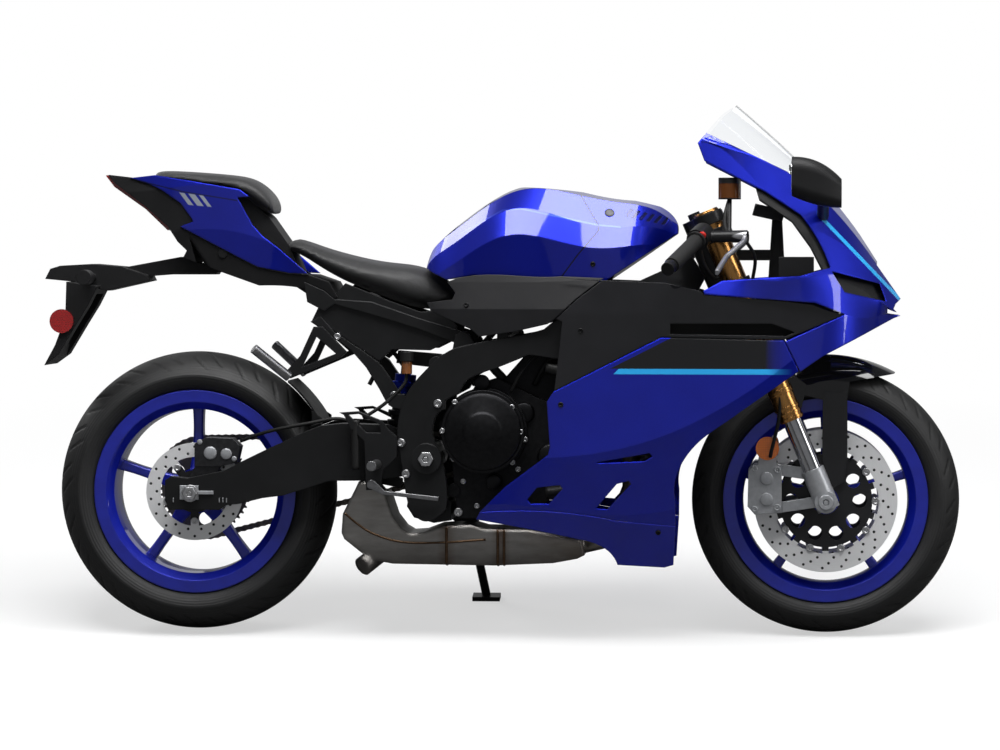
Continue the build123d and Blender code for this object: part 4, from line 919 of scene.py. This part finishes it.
screws("frame_screws", 10, steel, {
    "main_frame": [(476, 432), (487, 363), (559, 520), (598, 301)],
    "engine_block": [(601, 276)]})
screws("cover_screws", 6.5, steel, {"engine_covers engine_block": [
    (654, 550), (598, 524), (570, 460), (592, 396), (612, 345), (643, 290), (725, 513), (744, 458),
    (752, 440), (724, 389), (735, 372), (700, 300), (790, 350), (820, 400), (830, 470)]})
screws("panel_screws", 6, black_metal, {
    "side_fairings": [(835, 520), (768, 284), (912, 268)], "belly_pan": [(1049, 236)],
    "fairing_infill": [(878, 683)], "tank_side_covers": [(622, 739)], "fuel_tank": [(903, 830)]})
screws("subframe_screws", 8, steel, {"subframe": [(606, 664), (457, 538), (330, 668)]})

# %% [markdown]
# Round bosses, rings and nuts are turned shapes too. Each profile is a list
# of distance from its middle and height above the surface, in shares of the
# radius. Most stand straight across the bike and face away from its middle.

# %% Turned covers, nuts and bobbins
RIBBED = [(0, 0.1), (0.5, 0.1), (0.53, 0.06), (0.72, 0.06), (0.75, 0.1), (0.9, 0.1), (1, 0.04),
          (1, -0.04)]
DOME = [(0, 0.17), (0.42, 0.17), (0.47, 0.14), (0.52, 0.11), (0.84, 0.09), (0.94, 0.04),
        (0.98, -0.04)]
NUT = [(0, 0.5), (0.3, 0.5), (0.32, 0.3), (0.42, 0.3), (0.44, 0.55), (0.92, 0.55), (1, 0.45),
       (1, -0.1)]
CAP = [(0, 0.35), (0.8, 0.35), (0.92, 0.28), (1, 0.1), (1, -0.2)]
BOBBIN = [(0, 0.2), (0.45, 0.2), (0.5, 0.45), (0.95, 0.45), (1, 0.3), (1, -0.1)]
COLLAR = [(0.98, -0.14), (1.05, -0.12), (1.07, 0), (1.05, 0.12), (0.98, 0.14)]
BADGE = [(0, 0.1), (0.72, 0.1), (0.76, 0.16), (0.92, 0.16), (1, 0.08), (1, -0.2)]
RAKE = math.radians(22.57)


def across(profile, x, y, z, radius, sides=40):
    """Turned shape that faces away from the middle of the bike."""
    return turned(profile, at(x, y, z), toward(0, math.copysign(1, y), 0), radius, sides)


def bolt_circle(wheel, reach, y, radius, count, start):
    """Buttons at even steps round an axle."""
    turns = [2 * math.pi * (index + 0.5) / count + start for index in range(count)]
    return [across(BOBBIN, wheel["x"] + reach * math.cos(t), y, wheel["z"] + reach * math.sin(t),
                   radius, 16) for t in turns]


turned_piece("cover_rings", [
    across(DOME, 660, -186, 458, 90, 72), across(CAP, 682, -150, 345, 18),
    across(CAP, 655, -150, 566, 18), across(RIBBED, 782, 178, 440, 60),
    across(CAP, 748, -128, 498, 24), across(CAP, 808, -128, 400, 30),
], engine_cover, "chassis")
turned_piece("axle_nuts", [
    across(NUT, x, side * y, z, radius, 6)
    for x, y, z, radius in ((0, 152, REAR_WHEEL["z"], 17), (533, 180, 397, 18))
    for side in (-1, 1)], steel, "chassis")
turned_piece("disc_bobbins", [
    shape for side in (-1, 1) for shape in bolt_circle(FRONT_WHEEL, 111, side * 70.9, 9, 10, 0.31)
], steel, "front_wheel")
turned_piece("rear_disc_bolts", bolt_circle(REAR_WHEEL, 66, -77.4, 8, 5, math.pi / 2), steel,
             "rear_wheel")

back, up = math.sin(RAKE), math.cos(RAKE)
turned_piece("fork_collars", [
    turned(COLLAR, at(WHEELBASE - back * reach, side * 105, FRONT_WHEEL["z"] + up * reach),
           toward(-back, 0, up), 27, 40)
    for side in (-1, 1) for reach in (202, 214, 226, 262, 268, 694)
], gold_anodised, "steering")

blocks = []
boxes = [(-24, 18, 302, 334, 138, 144), (18, 52, 314, 322, 138, 145)]
boxes += [(x, x + 2, 296, 306, 137, 142) for x in (-40, 64, 72, 80)]
for side in (-1, 1):
    for x1, x2, z1, z2, inner, outer in boxes:
        blocks.append(prism([(x1, z1), (x2, z1), (x2, z2), (x1, z2)], side * inner, side * outer))
piece("axle_blocks", merged(blocks), grey_cast, "chassis").data.shade_flat()

caps = []
for side in (-1, 1):
    caps += [across(CAP, 1288, side * 112, z, 15, 24) for z in (353, 306)]
    caps += [across(NUT, x, side * 112, z, radius, 24)
             for x, z, radius in ((1262, 374, 7), (1262, 284, 7), (1312, 372, 8), (1312, 288, 8))]
    caps.append(across(NUT, WHEELBASE, side * 132, FRONT_WHEEL["z"], 17, 24))
turned_piece("caliper_caps", caps, grey_cast, "steering")
turned_piece("rear_caliper_caps", [
    across(CAP, x, -106, z, radius, 24)
    for x, z, radius in ((40, 405, 15), (76, 403, 13), (16, 430, 6), (94, 392, 6))
], grey_cast, "chassis")
turned_piece("tank_badges", [turned(BADGE, *surface("fuel_tank", 938, 944, side), 11, 32)
                             for side in (-1, 1)], dark_cast, "chassis")

# %% [markdown]
# Hoses, brake lines and cables are tubes swept along smooth curves between
# their real ends. They are fixed at both ends, so they ride on one body.
# Weld beads and the small rear cylinder with its cup are short tubes too.

# %% Hoses, lines and weld beads
TUBE_SIDES = 12
TUBE_STEPS = 10


def tube(points, radius):
    """Round hose along a smooth curve through places on the upright bike."""
    path = [Vector(point) for point in points]
    path = [path[0] * 2 - path[1]] + path + [path[-1] * 2 - path[-2]]
    line = []
    for a, b, c, d in zip(path, path[1:], path[2:], path[3:]):
        for i in range(TUBE_STEPS):
            t = i / TUBE_STEPS
            line.append(0.5 * (2 * b + (c - a) * t + (2 * a - 5 * b + 4 * c - d) * t**2
                               + (3 * b - a - 3 * c + d) * t**3))
    line.append(path[-2])
    corners = []
    for index, here in enumerate(line):
        along = (line[min(index + 1, len(line) - 1)] - line[max(index - 1, 0)]).normalized()
        first = along.cross(Vector((0.05, 1, 0.02))).normalized()
        second = along.cross(first)
        for i in range(TUBE_SIDES):
            t = 2 * math.pi * i / TUBE_SIDES
            corners.append(here + (first * math.cos(t) + second * math.sin(t)) * radius)
    return corners, closed_faces(len(line), TUBE_SIDES)


def tubes(finish, body, courses):
    for name, (radius, *points) in courses.items():
        piece(name, tube(points, radius), finish, body)
    print(", ".join(courses))


tubes(weld, "chassis", {
    "exhaust_seam": (2.6, (345, -122, 272), (374, -122, 248), (410, -122, 226), (473, -122, 208),
        (562, -122, 207), (662, -122, 214)),
    "exhaust_bead_rear": (3.4, (574, -110, 243), (574, -121, 236), (574, -122, 200),
        (574, -121, 164), (574, -100, 157)),
    "exhaust_bead_middle": (3.2, (689, -110, 237), (689, -121, 232), (689, -122, 200),
        (689, -121, 162), (689, -100, 156)),
    "exhaust_bead_front": (3.2, (703, -110, 237), (703, -121, 232), (703, -122, 200),
        (703, -121, 162), (703, -100, 157))})
tubes(hose_rubber, "chassis", {
    "coolant_hose_upper": (15, (1030, -120, 610), (960, -150, 600), (880, -158, 585),
        (800, -150, 600)),
    "coolant_hose_lower": (14, (1010, -120, 380), (940, -150, 360), (860, -150, 330),
        (800, -140, 320)),
    "breather_hose": (10, (700, -120, 575), (676, -138, 610), (700, -130, 650), (740, -100, 680)),
    "wiring_loom": (7, (640, -130, 560), (628, -132, 590), (650, -126, 640), (690, -110, 690)),
    "clutch_cable": (4, (720, -140, 545), (745, -150, 590), (790, -140, 640), (860, -120, 690)),
    "injector_loom": (6, (770, -110, 560), (800, -130, 610), (850, -125, 640), (900, -110, 660)),
    "fuel_hose": (8, (660, -100, 600), (720, -120, 630), (780, -122, 650), (830, -105, 690)),
    "rear_brake_hose": (4, (108, -104, 432), (178, -128, 456), (268, -132, 474), (330, -128, 484),
        (375, -120, 470))})
tubes(hose_rubber, "steering", {
    "brake_hose_right": (4, (1243, -180, 880), (1262, -150, 840), (1256, -122, 760),
        (1290, -118, 640), (1318, -128, 520), (1296, -120, 400)),
    "brake_hose_left": (4, (1256, -122, 760), (1275, 60, 720), (1300, 120, 640), (1318, 128, 520),
        (1296, 120, 400)),
    "reservoir_hose": (5, (1205, -98, 974), (1196, -120, 940), (1196, -150, 912),
        (1206, -170, 896)),
    "throttle_cable": (4, (1140, -190, 868), (1150, -170, 830), (1170, -130, 800),
        (1180, -60, 800))})
tubes(hose_rubber, "chassis", {
    "rear_master": (9, (373, -158, 372), (373, -158, 430), (374, -158, 482)),
    "rear_reservoir_cap": (15, (487, -142, 613), (487, -142, 624), (487, -142, 634)),
    "rear_reservoir_hose": (4, (487, -142, 586), (480, -146, 560), (440, -150, 520),
        (390, -152, 486)),
    "shock_hose": (5, (470, -30, 600), (440, -80, 640), (420, -100, 600), (400, -110, 560))})
tubes(fluid, "chassis", {
    "rear_reservoir": (12, (487, -142, 585), (487, -142, 600), (487, -142, 613))})

# %% [markdown]
# A near-black plate closes each duct of the fairing from inside: painted
# shade that stands in for the shaded inside of the duct. The mirrors have
# flat glass plates that face the rider, a little behind their pods' rims,
# and the bar controls carry a red switch.

# %% Duct plates, mirror glass and switch
DUCT_OUTLINE = [(1066, 664), (1066, 710), (1302, 712), (1372, 684), (1340, 664)]
MIRROR_COUNT = 32
MIRROR_Y, MIRROR_Z = 291, 1021
GLASS_BACK, GLASS_FRONT = 1341.6, 1340.8
HANDS = ((-1, "right"), (1, "left"))
# painted shade: near-black plates inside the ducts stand in for their shaded inside
for side, hand in HANDS:
    piece("duct_back_" + hand, prism(DUCT_OUTLINE, side * 160, side * 163), duct_shade,
          "chassis").data.shade_flat()
count = MIRROR_COUNT
faces = ring_faces(2, count)
faces += [tuple(range(count)), tuple(reversed(range(count, 2 * count)))]
for side, hand in HANDS:
    plate = [(x, side * MIRROR_Y + 50 * out, MIRROR_Z + 35 * up)
             for x in (GLASS_BACK, GLASS_FRONT) for out, up in rounded_box(count, 0.55)]
    piece("mirror_glass_" + hand, (plate, faces), mirror_glass, "chassis").data.shade_flat()
turned_piece("stop_switch", [turned(CAP, *surface("bar_controls", 1146, 893), 9)], switch_red,
             "steering")

# %% [markdown]
# The studio is a pale floor under a white world. The floor glows a little
# for the camera, so it comes out nearly white and still keeps the shadow.

# %% Studio floor and world
FLOOR_REACH = 60
floor_finish = Finish("studio_floor")
seen = floor_finish.node("ShaderNodeLightPath", {}, {})
through = Wire(floor_finish, seen.socket.node.outputs["Is Transmission Ray"])
floor_finish.set(Base_Color=floor_finish.blend(seen, (0.12, 0.12, 0.12), (0.9, 0.9, 0.9)),
                 Roughness=0.9)
along = (floor_finish.x - 700) * 0.6
far = ((along * along + floor_finish.y * floor_finish.y) ** 0.5).rise(700, 2600)
lit = Wire(floor_finish, floor_finish.shader.outputs[0])
glow = floor_finish.node("ShaderNodeEmission", {}, {"Color": (1, 1, 1), "Strength": 1.0})
mixed = floor_finish.node("ShaderNodeMixShader", {}, {
    0: seen.most(through) * (far * 0.45 + 0.55), 1: lit, 2: glow})
floor_finish.feed(floor_finish.out.inputs[0], mixed)

plane = bpy.data.meshes.new("studio_floor")
plane.from_pydata([(x * FLOOR_REACH, y * FLOOR_REACH, 0)
                   for x, y in ((-1, -1), (1, -1), (1, 1), (-1, 1))], [], [(0, 1, 2, 3)])
plane.materials.append(floor_finish.material)
studio_floor = bpy.data.objects.new("studio_floor", plane)
bpy.context.scene.collection.objects.link(studio_floor)

world = bpy.data.worlds.new("studio_world")
world.use_nodes = True
bpy.context.scene.world = world
sky_nodes, sky_links = world.node_tree.nodes, world.node_tree.links
sky = sky_nodes["Background"]
sky.inputs["Color"].default_value = (0.75, 0.78, 0.82, 1)
sky.inputs["Strength"].default_value = 0.14
white = sky_nodes.new("ShaderNodeBackground")
white.inputs["Color"].default_value = (1, 1, 1, 1)
path = sky_nodes.new("ShaderNodeLightPath")
mix = sky_nodes.new("ShaderNodeMixShader")
for index, socket in enumerate((path.outputs["Is Camera Ray"], sky.outputs[0], white.outputs[0])):
    sky_links.new(socket, mix.inputs[index])
sky_links.new(mix.outputs[0], sky_nodes["World Output"].inputs[0])
print("floor and world are ready")

# %% [markdown]
# Five large soft lamps light the bike. The one above gives the long
# highlights along the paint, and the others fill the sides, nose and tail.

# %% Lamps
MIDDLE = Vector((0, 0, 0.6))


def lamp(name, place, width, height, power):
    data = bpy.data.lights.new(name, "AREA")
    data.shape = "RECTANGLE"
    data.size = width
    data.size_y = height
    data.energy = power
    made = bpy.data.objects.new(name, data)
    bpy.context.scene.collection.objects.link(made)
    made.location = place
    made.rotation_euler = (MIDDLE - Vector(place)).to_track_quat("-Z", "Y").to_euler()


lamp("top_softbox", (0.2, -0.9, 3.8), 4.0, 1.8, 215)
lamp("side_fill", (0, -8, 3.0), 12, 6, 30)
lamp("left_fill", (0, 8, 3.0), 12, 6, 90)
lamp("front_softbox", (4.4, -1.2, 2.4), 1.2, 2.4, 50)
lamp("rear_softbox", (-3.6, 2.6, 2.8), 2.4, 1.6, 60)
bpy.context.scene.view_settings.view_transform = "Standard"
print("studio is lit")
